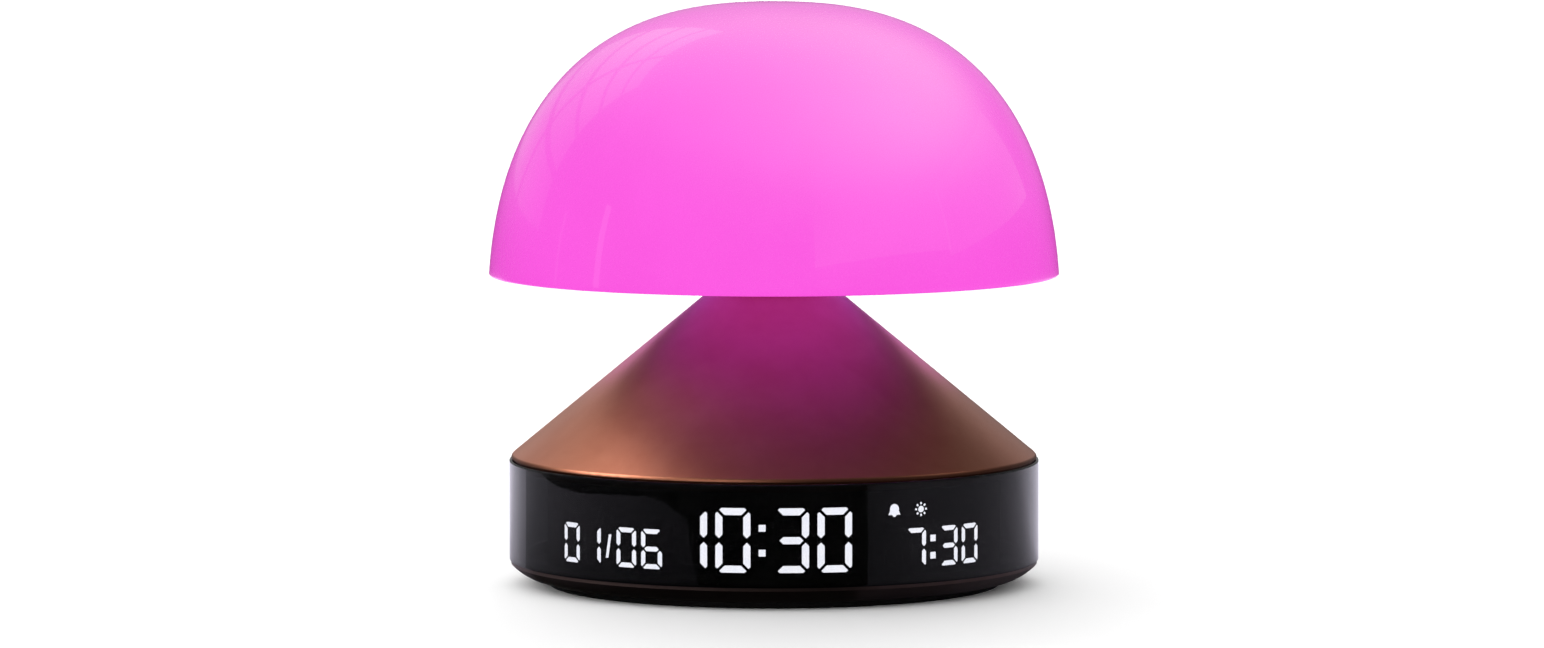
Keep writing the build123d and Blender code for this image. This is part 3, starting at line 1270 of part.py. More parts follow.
# ---------------------------------------------------------------------------- assembly
def assembly():
    """Every node of the clock by name."""
    nodes = {
        "lampshade": lampshade(),
        "shade_underplate": shade_underplate(),
        "head_stem": head_stem(),
        "stem_clip": stem_clip(),
        "heat_sink": heat_sink(),
        "led_board": led_board(),
        "shade_lights": shade_lights(),
        "head_connector": head_connector(),
        "head_screws": head_screws(),
        "led_board_screws": led_board_screws(),
        "head_cable": head_cable(),
        "head_spring": head_spring(),
        "neck_bush": neck_bush(),
        "bush_nut": bush_nut(),
        "cone_housing": cone_housing(),
        "display_window": display_window(),
        "base_shell": base_shell(),
        "foot_ring": foot_ring(),
        "case_screws": case_screws(),
        "display_mask": display_mask(),
        "time_digits": insert_node("time"),
        "date_digits": insert_node("date"),
        "alarm_digits": insert_node("alarm"),
        "dark_segments": insert_node("dark"),
        "bell_icon": icon_node(BELL_ANGLE, [bell_outline()]),
        "sun_icon": icon_node(SUN_ANGLE, sun_outline()),
        "display_board": display_board(),
        "display_chips": display_chips(),
        "display_ribbon": display_ribbon(),
        "rear_panel": rear_panel(),
        "button_board": button_board(),
        "button_switches": button_switches(),
        "button_ribbon": button_ribbon(),
        "panel_screws": panel_screws(),
        "inlet_board": inlet_board(),
        "usb_socket": usb_socket(),
        "inlet_screws": inlet_screws(),
        "main_board": main_board(),
        "board_screws": board_screws(),
        "head_switches": head_switches(),
        "board_parts": board_parts(),
        "power_lead": power_lead(),
        "cell_holder": cell_holder(),
        "backup_cell": backup_cell(),
        "speaker_gasket": speaker_gasket(),
        "speaker_frame": speaker_frame(),
        "speaker_membrane": speaker_membrane(),
        "speaker_magnet": speaker_magnet(),
        "speaker_screws": speaker_screws(),
        "speaker_lead": speaker_lead(),
    }
    for name, x in zip(BUTTON_NAMES, button_places()):
        nodes[name] = button(x)
    return nodes


os.makedirs("parts", exist_ok=True)
for node_name, node_shape in assembly().items():
    export_step(node_shape, f"parts/{node_name}.step")
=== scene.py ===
"""Looks of a sunrise alarm clock: an opal lamp head, a copper cone and a smoked display drum."""

import json
import logging
import math
from collections.abc import Callable
from dataclasses import dataclass
from enum import Enum

import bmesh
import bpy
from mathutils import Matrix, Vector

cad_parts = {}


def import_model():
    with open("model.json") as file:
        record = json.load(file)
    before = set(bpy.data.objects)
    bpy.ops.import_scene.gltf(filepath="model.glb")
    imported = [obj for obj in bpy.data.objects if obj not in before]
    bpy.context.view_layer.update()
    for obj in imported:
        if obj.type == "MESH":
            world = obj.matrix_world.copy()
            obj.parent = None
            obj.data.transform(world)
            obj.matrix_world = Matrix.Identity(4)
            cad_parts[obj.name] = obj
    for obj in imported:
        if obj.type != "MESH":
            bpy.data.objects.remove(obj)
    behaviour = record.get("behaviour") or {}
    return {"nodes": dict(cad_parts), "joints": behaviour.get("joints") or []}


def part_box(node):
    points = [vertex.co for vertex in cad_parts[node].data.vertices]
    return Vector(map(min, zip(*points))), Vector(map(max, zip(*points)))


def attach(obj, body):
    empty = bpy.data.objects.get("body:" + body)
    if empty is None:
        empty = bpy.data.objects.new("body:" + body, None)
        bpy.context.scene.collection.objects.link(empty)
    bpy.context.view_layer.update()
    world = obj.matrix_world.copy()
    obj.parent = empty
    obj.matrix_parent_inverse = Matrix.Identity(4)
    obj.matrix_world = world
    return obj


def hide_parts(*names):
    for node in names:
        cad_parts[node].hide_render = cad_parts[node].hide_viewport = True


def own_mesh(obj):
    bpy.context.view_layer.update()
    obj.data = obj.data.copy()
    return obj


LOG = logging.getLogger("clock")
Color = tuple[float, float, float]
Place = tuple[float, float, float]
Pair = tuple[float, float]
Profile = list[Pair]
Grades = tuple[Pair, ...]
Socket = bpy.types.NodeSocket
Piece = bpy.types.Object
Material = bpy.types.Material
Mesh = bpy.types.Mesh
WorkMesh = bmesh.types.BMesh
MM = 0.001
CIRCLE = 360
FULL_TURN = 2 * math.pi
SHARP_ANGLE = math.radians(35)
# A Mix node's colour sockets have the same names as its number sockets, so they go by their places.
MIX_FIRST, MIX_SECOND, MIX_RESULT = 6, 7, 2
MERGE_DISTANCE = 1e-6
WHITE = (1.0, 1.0, 1.0)


class Body(str, Enum):
    """The moving bodies that pieces ride on."""

    BASE = "base"
    HEAD = "head"
    CLOCK_KEY = "clock_key"
    ALARM_KEY = "alarm_key"
    MINUS_KEY = "minus_key"
    PLUS_KEY = "plus_key"
    LIGHT_KEY = "light_key"


class Slot(str, Enum):
    """Material slots of the record."""

    OPAL_SHADE = "opal_shade"
    OPAL_PLATE = "opal_plate"
    COPPER_CONE = "copper_cone"
    SMOKED_WINDOW = "smoked_window"
    BRONZE_BASE = "bronze_base"
    FOOT_RUBBER = "foot_rubber"
    PANEL_BLACK = "panel_black"
    BUTTON_BLACK = "button_black"
    MASK_BLACK = "mask_black"
    LIT_INSERT = "lit_insert"
    UNLIT_INSERT = "unlit_insert"
    BOARD_GREEN = "board_green"
    LIGHT_PACKAGE = "light_package"
    SCREW_STEEL = "screw_steel"
    SPRING_STEEL = "spring_steel"
    ALUMINIUM_PLATE = "aluminium_plate"
    STEM_NYLON = "stem_nylon"
    BRASS_NUT = "brass_nut"
    PART_BLACK = "part_black"
    MAGNET_GREY = "magnet_grey"
    MEMBRANE_PAPER = "membrane_paper"
    GASKET_FOAM = "gasket_foam"
    LEAD_SLEEVE = "lead_sleeve"
    CELL_STEEL = "cell_steel"
    SOCKET_STEEL = "socket_steel"


# ------------------------------------------------------------------------------ node trees
class Graph:
    """A node tree with short calls that add, set and join nodes."""

    def __init__(self, tree: bpy.types.NodeTree, owner: bpy.types.ID | None = None) -> None:
        """Keeps the tree.

        Args:
            tree: The tree that new nodes go into.
            owner: The material that the tree is in, if any.
        """
        self.tree = tree
        self.owner = owner

    def add(self, kind: str, inputs: dict | None = None, **settings: object) -> bpy.types.Node:
        """Adds a node.

        Args:
            kind: The node's type.
            inputs: Values or sockets for its inputs, by name or number.
            **settings: The node's own options.

        Returns:
            The new node.
        """
        node = self.tree.nodes.new(kind)
        for option, choice in settings.items():
            setattr(node, option, choice)
        self.fill(node, inputs or {})
        return node

    def fill(self, node: bpy.types.Node, inputs: dict) -> None:
        """Feeds several inputs of a node.

        Args:
            node: The node.
            inputs: Values or sockets for its inputs, by name or number.
        """
        for key, value in inputs.items():
            self.feed(node.inputs[key], value)

    def feed(self, socket: Socket, value: object) -> None:
        """Sets an input, or joins it where the value is a socket.

        Args:
            socket: The input.
            value: A plain value or an output socket.
        """
        if isinstance(value, Socket):
            self.tree.links.new(value, socket)
        else:
            socket.default_value = value

    def math(self, operation: str, *values: object, clamp: bool = False) -> Socket:
        """Adds a Math node.

        Args:
            operation: The operation's name.
            *values: Its numbers or sockets, in order.
            clamp: Whether the result is kept between 0 and 1.

        Returns:
            The result's socket.
        """
        given = dict(enumerate(values))
        return self.add("ShaderNodeMath", given, operation=operation, use_clamp=clamp).outputs[0]

    def square_sum(self, first: object, second: object) -> Socket:
        """Adds the squares of two values.

        Args:
            first: The first value.
            second: The second value.

        Returns:
            The sum's socket.
        """
        return self.math("ADD", self.math("POWER", first, 2.0), self.math("POWER", second, 2.0))

    def parts(self, vector: object) -> bpy.types.bpy_prop_collection:
        """Returns the sockets of a vector's three parts."""
        return self.add("ShaderNodeSeparateXYZ", {0: vector}).outputs

    def vector(self, *parts: object) -> Socket:
        """Returns the socket of a vector that is joined from its parts."""
        return self.add("ShaderNodeCombineXYZ", dict(enumerate(parts))).outputs[0]

    def surface_place(self) -> Socket:
        """Returns the socket of a point's place on its piece."""
        return self.add("ShaderNodeTexCoord").outputs["Object"]

    def span(
        self, value: object, start: object, end: object, low: object = 0.0, high: object = 1.0
    ) -> Socket:
        """Maps a value smoothly from one range to another.

        Args:
            value: The value to map.
            start: Where the result is low.
            end: Where the result is high.
            low: The result at the start.
            high: The result at the end.

        Returns:
            The result's socket.
        """
        places = {0: value, 1: start, 2: end, 3: low, 4: high}
        return self.add("ShaderNodeMapRange", places, interpolation_type="SMOOTHSTEP").outputs[0]

    def blend(self, share: object, first: object, second: object) -> Socket:
        """Mixes two colours.

        Args:
            share: How much of the second one shows.
            first: The colour at 0.
            second: The colour at 1.

        Returns:
            The mixed colour's socket.
        """
        given = {0: share, MIX_FIRST: first, MIX_SECOND: second}
        return self.add("ShaderNodeMix", given, data_type="RGBA").outputs[MIX_RESULT]


def opaque(color: Color) -> tuple[float, float, float, float]:
    """Returns a colour with full alpha."""
    return (*color, 1.0)


def grey(level: float) -> tuple[float, float, float, float]:
    """Returns a grey with full alpha."""
    return opaque((level, level, level))


class Effect(str, Enum):
    """Shader node groups that several finishes share."""

    GRAIN = "surface_grain"
    MOTTLE = "soft_mottle"
    RADIAL = "radial_fade"
    SPUN = "spun_rings"


class EffectGroups:
    """Builds each shared shader group once."""

    @staticmethod
    def start(
        effect: Effect, inputs: dict[str, float], colors: tuple[str, ...], outputs: dict[str, str]
    ) -> Graph:
        """Makes an empty group with its sockets.

        Args:
            effect: The group's name.
            inputs: Its number inputs and their defaults.
            colors: Its colour inputs.
            outputs: Its outputs and their socket types.

        Returns:
            The group's graph.
        """
        tree = bpy.data.node_groups.new(effect.value, "ShaderNodeTree")
        for label in colors:
            tree.interface.new_socket(label, in_out="INPUT", socket_type="NodeSocketColor")
        for label, default in inputs.items():
            socket = tree.interface.new_socket(label, in_out="INPUT", socket_type="NodeSocketFloat")
            socket.default_value = default
        for label, kind in outputs.items():
            tree.interface.new_socket(label, in_out="OUTPUT", socket_type=kind)
        return Graph(tree)

    @classmethod
    def grain(cls) -> None:
        """A fine even grain: moulded skin, blasted metal or paper, by its size."""
        inputs = {"Size": 0.0005, "Contrast": 0.5}
        graph = cls.start(Effect.GRAIN, inputs, (), {"Height": "NodeSocketFloat"})
        given = graph.add("NodeGroupInput").outputs
        scale = graph.math("DIVIDE", 1.0, given["Size"])
        look = {"Vector": graph.surface_place(), "Scale": scale, "Detail": 3.0, "Roughness": 0.55}
        noise = graph.add("ShaderNodeTexNoise", look).outputs["Fac"]
        centred = graph.math("SUBTRACT", noise, 0.5)
        spread = graph.math("MULTIPLY", centred, graph.math("MULTIPLY", given["Contrast"], 4.0))
        height = graph.math("ADD", spread, 0.5, clamp=True)
        graph.add("NodeGroupOutput", {"Height": height})

    @classmethod
    def mottle(cls) -> None:
        """Two colours that drift into each other over a larger size."""
        outputs = {"Color": "NodeSocketColor", "Mask": "NodeSocketFloat"}
        graph = cls.start(Effect.MOTTLE, {"Size": 0.01, "Softness": 0.25}, ("Light", "Dark"), outputs)
        given = graph.add("NodeGroupInput").outputs
        scale = graph.math("DIVIDE", 1.0, given["Size"])
        look = {"Scale": scale, "Detail": 4.0, "Roughness": 0.6, "Distortion": 0.3}
        noise = graph.add("ShaderNodeTexNoise", {"Vector": graph.surface_place(), **look}).outputs["Fac"]
        low = graph.math("SUBTRACT", 0.5, given["Softness"])
        high = graph.math("ADD", 0.5, given["Softness"])
        mask = graph.span(noise, low, high)
        color = graph.blend(mask, given["Light"], given["Dark"])
        graph.add("NodeGroupOutput", {"Color": color, "Mask": mask})

    @classmethod
    def radial(cls) -> None:
        """A mask that is 1 near the upright axis and falls to 0 further out."""
        graph = cls.start(Effect.RADIAL, {"Inner": 0.01, "Outer": 0.05}, (), {"Mask": "NodeSocketFloat"})
        given = graph.add("NodeGroupInput").outputs
        parts = graph.parts(graph.surface_place())
        radius = graph.math("SQRT", graph.square_sum(parts[0], parts[1]))
        mask = graph.span(radius, given["Inner"], given["Outer"], 1.0, 0.0)
        graph.add("NodeGroupOutput", {"Mask": mask})

    @classmethod
    def spun(cls) -> None:
        """Uneven rings round the upright axis, as turning and brushing leave them."""
        graph = cls.start(Effect.SPUN, {"Pitch": 0.0003}, (), {"Height": "NodeSocketFloat"})
        given = graph.add("NodeGroupInput").outputs
        parts = graph.parts(graph.surface_place())
        rings = graph.vector(graph.math("SQRT", graph.square_sum(parts[0], parts[1])), parts[2])
        look = {"Vector": rings, "Scale": graph.math("DIVIDE", 1.0, given["Pitch"]), "Detail": 2.0}
        noise = graph.add("ShaderNodeTexNoise", look).outputs["Fac"]
        graph.add("NodeGroupOutput", {"Height": noise})

    @classmethod
    def build(cls) -> None:
        """Builds all shared groups."""
        cls.grain()
        cls.mottle()
        cls.radial()
        cls.spun()


# ------------------------------------------------------------------------------ finishes
def blank_material(name: str) -> tuple[Material, Graph]:
    """Makes a material with nothing in it.

    Args:
        name: The material's name.

    Returns:
        The material and its empty graph.
    """
    material = bpy.data.materials.new(name)
    material.use_nodes = True
    material.node_tree.nodes.clear()
    return material, Graph(material.node_tree, material)


@dataclass(frozen=True)
class Finish:
    """A surface of two drifting colours with a grain in its gloss and its relief."""

    slot: Slot
    light: Color
    dark: Color
    mottle_size: float = 0.008
    grain_size: float = 0.0005
    grain_depth: float = 0.00002
    gloss: Pair = (0.35, 0.5)
    metallic: float = 0.0
    ior: float = 1.5
    coat: float = 0.0
    coat_roughness: float = 0.05
    spun_pitch: float = 0.0
    spun_depth: float = 0.0

    def build(self) -> Material:
        """Makes the material.

        Returns:
            The finished material.
        """
        material, graph = blank_material(f"finish_{self.slot.value}")
        shader = graph.add("ShaderNodeBsdfPrincipled")
        graph.add("ShaderNodeOutputMaterial", {"Surface": shader.outputs[0]})
        self.paint(graph, shader)
        self.texture(graph, shader)
        self.extend(graph, shader)
        return material

    def effect(self, graph: Graph, effect: Effect, inputs: dict) -> bpy.types.Node:
        """Places a shared group in the material.

        Args:
            graph: The material's graph.
            effect: Which group.
            inputs: Its values.

        Returns:
            The group's node.
        """
        return graph.add("ShaderNodeGroup", inputs, node_tree=bpy.data.node_groups[effect.value])

    def paint(self, graph: Graph, shader: bpy.types.Node) -> None:
        """Sets the colour and the plain values.

        Args:
            graph: The material's graph.
            shader: Its surface shader.
        """
        colors = {"Light": opaque(self.light), "Dark": opaque(self.dark), "Size": self.mottle_size}
        values = {
            "Base Color": self.effect(graph, Effect.MOTTLE, colors).outputs["Color"],
            "Metallic": self.metallic,
            "IOR": self.ior,
            "Coat Weight": self.coat,
            "Coat Roughness": self.coat_roughness,
        }
        graph.fill(shader, values)

    def texture(self, graph: Graph, shader: bpy.types.Node) -> None:
        """Sets the gloss and the relief.

        Args:
            graph: The material's graph.
            shader: Its surface shader.
        """
        grain = self.effect(graph, Effect.GRAIN, {"Size": self.grain_size}).outputs["Height"]
        bump = {"Height": grain, "Distance": self.grain_depth, "Strength": 1.0}
        normal = graph.add("ShaderNodeBump", bump).outputs[0]
        if self.spun_depth:
            rings = self.effect(graph, Effect.SPUN, {"Pitch": self.spun_pitch}).outputs["Height"]
            turned = {"Height": rings, "Distance": self.spun_depth, "Strength": 1.0, "Normal": normal}
            normal = graph.add("ShaderNodeBump", turned).outputs[0]
        graph.fill(shader, {"Roughness": graph.span(grain, 0.0, 1.0, *self.gloss), "Normal": normal})

    def extend(self, graph: Graph, shader: bpy.types.Node) -> None:
        """Adds what a special finish has; a plain one adds nothing."""


@dataclass(frozen=True)
class GlowFinish(Finish):
    """A surface that also gives light, with a slight drift in it."""

    glow: Color = WHITE
    glow_dim: Color = WHITE
    strength: float = 1.0
    fade: Pair = (0.0, 0.0)
    lights_up: bool = True

    def extend(self, graph: Graph, shader: bpy.types.Node) -> None:
        """Sets the light that the surface gives.

        Args:
            graph: The material's graph.
            shader: Its surface shader.
        """
        if self.fade[1]:
            limits = {"Inner": self.fade[0], "Outer": self.fade[1]}
            share = self.effect(graph, Effect.RADIAL, limits).outputs["Mask"]
            color = graph.blend(share, opaque(self.glow_dim), opaque(self.glow))
        else:
            colors = {"Light": opaque(self.glow), "Dark": opaque(self.glow_dim), "Size": self.mottle_size}
            color = self.effect(graph, Effect.MOTTLE, colors).outputs["Color"]
        graph.fill(shader, {"Emission Color": color, "Emission Strength": self.strength})
        if not self.lights_up:
            graph.owner.cycles.emission_sampling = "NONE"


@dataclass(frozen=True)
class LipShadeFinish(Finish):
    """A metal finish with painted shade round its rolled lower lip: its colour is darker there, so the lip
    shows less highlight.
    """

    lip: Pair = (0.0, 0.0)
    lip_shade_share: float = 1.0

    def extend(self, graph: Graph, shader: bpy.types.Node) -> None:
        """Paints shade on the lip by darkening its base colour.

        Args:
            graph: The material's graph.
            shader: Its surface shader.
        """
        height = graph.parts(graph.surface_place())[2]
        share = graph.span(height, *self.lip, self.lip_shade_share, 1.0)
        base = shader.inputs["Base Color"]
        scaled = {0: base.links[0].from_socket, "Scale": share}
        graph.feed(base, graph.add("ShaderNodeVectorMath", scaled, operation="SCALE").outputs[0])


@dataclass(frozen=True)
class SmokedFinish(Finish):
    """Clear moulded plastic with a dark dye in it."""

    def extend(self, graph: Graph, shader: bpy.types.Node) -> None:
        """Lets light through.

        Args:
            graph: The material's graph.
            shader: Its surface shader.
        """
        graph.fill(shader, {"Transmission Weight": 1.0})


FINISHES = (
    GlowFinish(
        Slot.OPAL_SHADE, light=(0.030, 0.006, 0.024), dark=(0.026, 0.005, 0.021), mottle_size=0.03,
        grain_size=0.0016, grain_depth=0.000006, gloss=(0.24, 0.30), coat=0.6, coat_roughness=0.03,
        glow=(0.970, 0.089, 0.757), glow_dim=(0.950, 0.084, 0.737),
    ),
    GlowFinish(
        Slot.OPAL_PLATE, light=(0.12, 0.060, 0.10), dark=(0.10, 0.050, 0.085), gloss=(0.4, 0.5),
        glow=(0.95, 0.07, 0.78), glow_dim=(0.42, 0.028, 0.33), fade=(0.016, 0.066),
    ),
    # The cone's lower lip gets painted shade: its colour is darker between these heights.
    LipShadeFinish(
        Slot.COPPER_CONE, light=(0.640, 0.250, 0.150), dark=(0.590, 0.215, 0.125), mottle_size=0.012,
        grain_size=0.00022, grain_depth=0.000012, gloss=(0.33, 0.43), metallic=1.0,
        lip=(31.8 * MM, 32.5 * MM), lip_shade_share=0.45,
    ),
    SmokedFinish(
        Slot.SMOKED_WINDOW, light=(0.050, 0.050, 0.054), dark=(0.047, 0.047, 0.050), mottle_size=0.02,
        grain_size=0.004, grain_depth=0.0000004, gloss=(0.0, 0.02), ior=1.45,
    ),
    Finish(
        Slot.BRONZE_BASE, light=(0.175, 0.122, 0.112), dark=(0.145, 0.098, 0.090), grain_size=0.0003,
        grain_depth=0.000012, gloss=(0.34, 0.44), metallic=1.0,
    ),
    Finish(
        Slot.FOOT_RUBBER, light=(0.0045, 0.0042, 0.0042), dark=(0.0028, 0.0026, 0.0026), mottle_size=0.006,
        grain_size=0.00045, grain_depth=0.00005, gloss=(0.72, 0.88),
    ),
    Finish(
        Slot.PANEL_BLACK, light=(0.016, 0.016, 0.017), dark=(0.011, 0.011, 0.012), grain_size=0.00035,
        grain_depth=0.00003, gloss=(0.42, 0.56),
    ),
    Finish(
        Slot.BUTTON_BLACK, light=(0.026, 0.026, 0.028), dark=(0.019, 0.019, 0.021), grain_size=0.0003,
        grain_depth=0.00003, gloss=(0.50, 0.66),
    ),
    Finish(
        Slot.MASK_BLACK, light=(0.010, 0.010, 0.011), dark=(0.007, 0.007, 0.008), grain_size=0.0004,
        grain_depth=0.00003, gloss=(0.7, 0.85),
    ),
    GlowFinish(
        Slot.LIT_INSERT, light=(0.50, 0.50, 0.52), dark=(0.44, 0.44, 0.46), mottle_size=0.002,
        gloss=(0.4, 0.5), glow=WHITE, glow_dim=(0.94, 0.96, 1.0), strength=19.5, lights_up=False,
    ),
    Finish(Slot.UNLIT_INSERT, light=(0.022, 0.022, 0.024), dark=(0.016, 0.016, 0.018), gloss=(0.45, 0.6)),
    Finish(
        Slot.BOARD_GREEN, light=(0.010, 0.090, 0.040), dark=(0.006, 0.055, 0.026), mottle_size=0.003,
        grain_size=0.0006, gloss=(0.28, 0.45), coat=0.4,
    ),
    GlowFinish(
        Slot.LIGHT_PACKAGE, light=(0.80, 0.78, 0.70), dark=(0.70, 0.66, 0.52), mottle_size=0.002,
        gloss=(0.25, 0.4), glow=(1.0, 0.12, 0.80), glow_dim=(0.9, 0.10, 0.72), strength=2.0,
    ),
    Finish(
        Slot.SCREW_STEEL, light=(0.58, 0.57, 0.55), dark=(0.44, 0.43, 0.42), mottle_size=0.0015,
        grain_size=0.0002, gloss=(0.22, 0.4), metallic=1.0,
    ),
    Finish(
        Slot.SPRING_STEEL, light=(0.50, 0.50, 0.50), dark=(0.36, 0.36, 0.37), mottle_size=0.002,
        grain_size=0.0002, gloss=(0.2, 0.34), metallic=1.0,
    ),
    Finish(
        Slot.ALUMINIUM_PLATE, light=(0.74, 0.75, 0.76), dark=(0.62, 0.63, 0.64), grain_size=0.0003,
        gloss=(0.28, 0.42), metallic=1.0, spun_pitch=0.0004, spun_depth=0.00001,
    ),
    Finish(Slot.STEM_NYLON, light=(0.78, 0.76, 0.71), dark=(0.70, 0.68, 0.62), gloss=(0.35, 0.5)),
    Finish(
        Slot.BRASS_NUT, light=(0.78, 0.58, 0.28), dark=(0.62, 0.43, 0.18), gloss=(0.2, 0.36), metallic=1.0,
        spun_pitch=0.0005, spun_depth=0.00001,
    ),
    Finish(
        Slot.PART_BLACK, light=(0.030, 0.030, 0.032), dark=(0.018, 0.018, 0.020), mottle_size=0.003,
        gloss=(0.4, 0.55),
    ),
    Finish(
        Slot.MAGNET_GREY, light=(0.30, 0.30, 0.31), dark=(0.20, 0.20, 0.21), mottle_size=0.003,
        gloss=(0.35, 0.6), metallic=0.6,
    ),
    Finish(
        Slot.MEMBRANE_PAPER, light=(0.050, 0.048, 0.046), dark=(0.028, 0.027, 0.026), mottle_size=0.0012,
        grain_size=0.0003, grain_depth=0.00006, gloss=(0.8, 0.95),
    ),
    Finish(
        Slot.GASKET_FOAM, light=(0.060, 0.060, 0.062), dark=(0.022, 0.022, 0.024), mottle_size=0.0006,
        grain_size=0.0003, grain_depth=0.00012, gloss=(0.88, 0.98),
    ),
    Finish(
        Slot.LEAD_SLEEVE, light=(0.036, 0.036, 0.040), dark=(0.024, 0.024, 0.027), mottle_size=0.004,
        gloss=(0.38, 0.5),
    ),
    Finish(
        Slot.CELL_STEEL, light=(0.70, 0.70, 0.69), dark=(0.58, 0.58, 0.57), mottle_size=0.004,
        gloss=(0.16, 0.3), metallic=1.0,
    ),
    Finish(
        Slot.SOCKET_STEEL, light=(0.62, 0.62, 0.63), dark=(0.50, 0.50, 0.52), mottle_size=0.002,
        gloss=(0.22, 0.36), metallic=1.0,
    ),
)


class Palette:
    """All finishes of the clock, each built once."""

    def __init__(self) -> None:
        """Builds the shared groups and every finish."""
        EffectGroups.build()
        self.materials = {finish.slot: finish.build() for finish in FINISHES}

    def __getitem__(self, slot: Slot) -> Material:
        """Returns the material of a slot."""
        return self.materials[slot]

    def dress(self, piece: Piece, slot: Slot) -> None:
        """Gives a new piece its finish.

        Args:
            piece: The piece.
            slot: Its material slot in the record.
        """
        if not piece.data.materials:
            piece.data.materials.append(self[slot])
        piece.material_slots[0].material = self[slot]

    def dress_nodes(self, nodes: dict[str, Piece]) -> None:
        """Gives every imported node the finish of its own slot.

        Args:
            nodes: The frame's nodes by name.
        """
        for name, node in nodes.items():
            for holder in node.material_slots:
                holder.material = self[Slot(holder.material.name.split(".")[0])]
            LOG.info("dressed node %s", name)


# ------------------------------------------------------------------------------ mesh helpers
def object_from(name: str, data: bpy.types.ID) -> Piece:
    """Puts a mesh, a curve, a lamp or a camera into the scene at the origin.

    Args:
        name: The new object's name.
        data: What it holds; a mesh is already in place.

    Returns:
        The new object.
    """
    piece = bpy.data.objects.new(name, data)
    bpy.context.scene.collection.objects.link(piece)
    return piece


def plain_mesh(piece: Piece) -> Mesh:
    """Returns what an object's curve or modifiers work out to, as a mesh."""
    return bpy.data.meshes.new_from_object(piece.evaluated_get(bpy.context.evaluated_depsgraph_get()))


def soften(mesh: Mesh) -> None:
    """Shades a mesh smooth, up to its sharp edges."""
    mesh.shade_smooth()
    mesh.set_sharp_from_angle(angle=SHARP_ANGLE)


def piece_from(name: str, work: WorkMesh) -> Piece:
    """Turns a working mesh into a piece with its faces outwards.

    Args:
        name: The piece's name.
        work: The working mesh, which is freed.

    Returns:
        The new object.
    """
    bmesh.ops.remove_doubles(work, verts=work.verts, dist=MERGE_DISTANCE)
    bmesh.ops.recalc_face_normals(work, faces=work.faces)
    mesh = bpy.data.meshes.new(name)
    work.to_mesh(mesh)
    work.free()
    soften(mesh)
    return object_from(name, mesh)


def arc(center: Pair, radius: float, start: float, end: float, steps: int) -> Profile:
    """Points of an arc in a profile.

    Args:
        center: Its centre, as radius and height.
        radius: Its own radius.
        start: Its first angle in degrees.
        end: Its last angle in degrees.
        steps: How many pieces it has.

    Returns:
        The arc's points in order.
    """
    turns = [math.radians(start + (end - start) * step / steps) for step in range(steps + 1)]
    return [(center[0] + radius * math.cos(turn), center[1] + radius * math.sin(turn)) for turn in turns]


def bridge(work: WorkMesh, first: list, second: list) -> None:
    """Joins two closed loops of as many corners with faces.

    Args:
        work: The working mesh that gets the faces.
        first: The first loop's corners in order.
        second: The second loop's corners in order.
    """
    for index, corner in enumerate(first):
        after = (index + 1) % len(first)
        work.faces.new((corner, first[after], second[after], second[index]))


def sweep(work: WorkMesh, profile: Profile, start: float, end: float, steps: int) -> None:
    """Sweeps a closed profile round the upright axis.

    Args:
        work: The working mesh that gets the faces.
        profile: The profile's corners as radius and height.
        start: The first angle in degrees from the front, positive to the right.
        end: The last angle.
        steps: How many steps the sweep takes.
    """
    rows = []
    for step in range(steps + 1):
        turn = math.radians(start + (end - start) * step / steps)
        side, back = math.sin(turn), -math.cos(turn)
        rows.append([work.verts.new((radius * side, radius * back, height)) for radius, height in profile])
    for row, following in zip(rows, rows[1:]):
        bridge(work, row, following)
    if abs(end - start) < CIRCLE:
        work.faces.new(rows[0])
        work.faces.new(rows[-1])


def islands(node: Piece) -> list[tuple[Vector, Vector]]:
    """Finds the separate solids of a node.

    Args:
        node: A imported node.

    Returns:
        The lowest and highest corner of each solid.
    """
    work = bmesh.new()
    work.from_mesh(node.data)
    bmesh.ops.remove_doubles(work, verts=work.verts, dist=MERGE_DISTANCE)
    left = set(work.verts)
    found = []
    while left:
        stack = [left.pop()]
        members = []
        while stack:
            vertex = stack.pop()
            members.append(vertex.co.copy())
            near = {edge.other_vert(vertex) for edge in vertex.link_edges} & left
            left -= near
            stack.extend(near)
        low = Vector([min(place[axis] for place in members) for axis in range(3)])
        high = Vector([max(place[axis] for place in members) for axis in range(3)])
        found.append((low, high))
    work.free()
    return sorted(found, key=lambda corners: tuple(corners[0]))


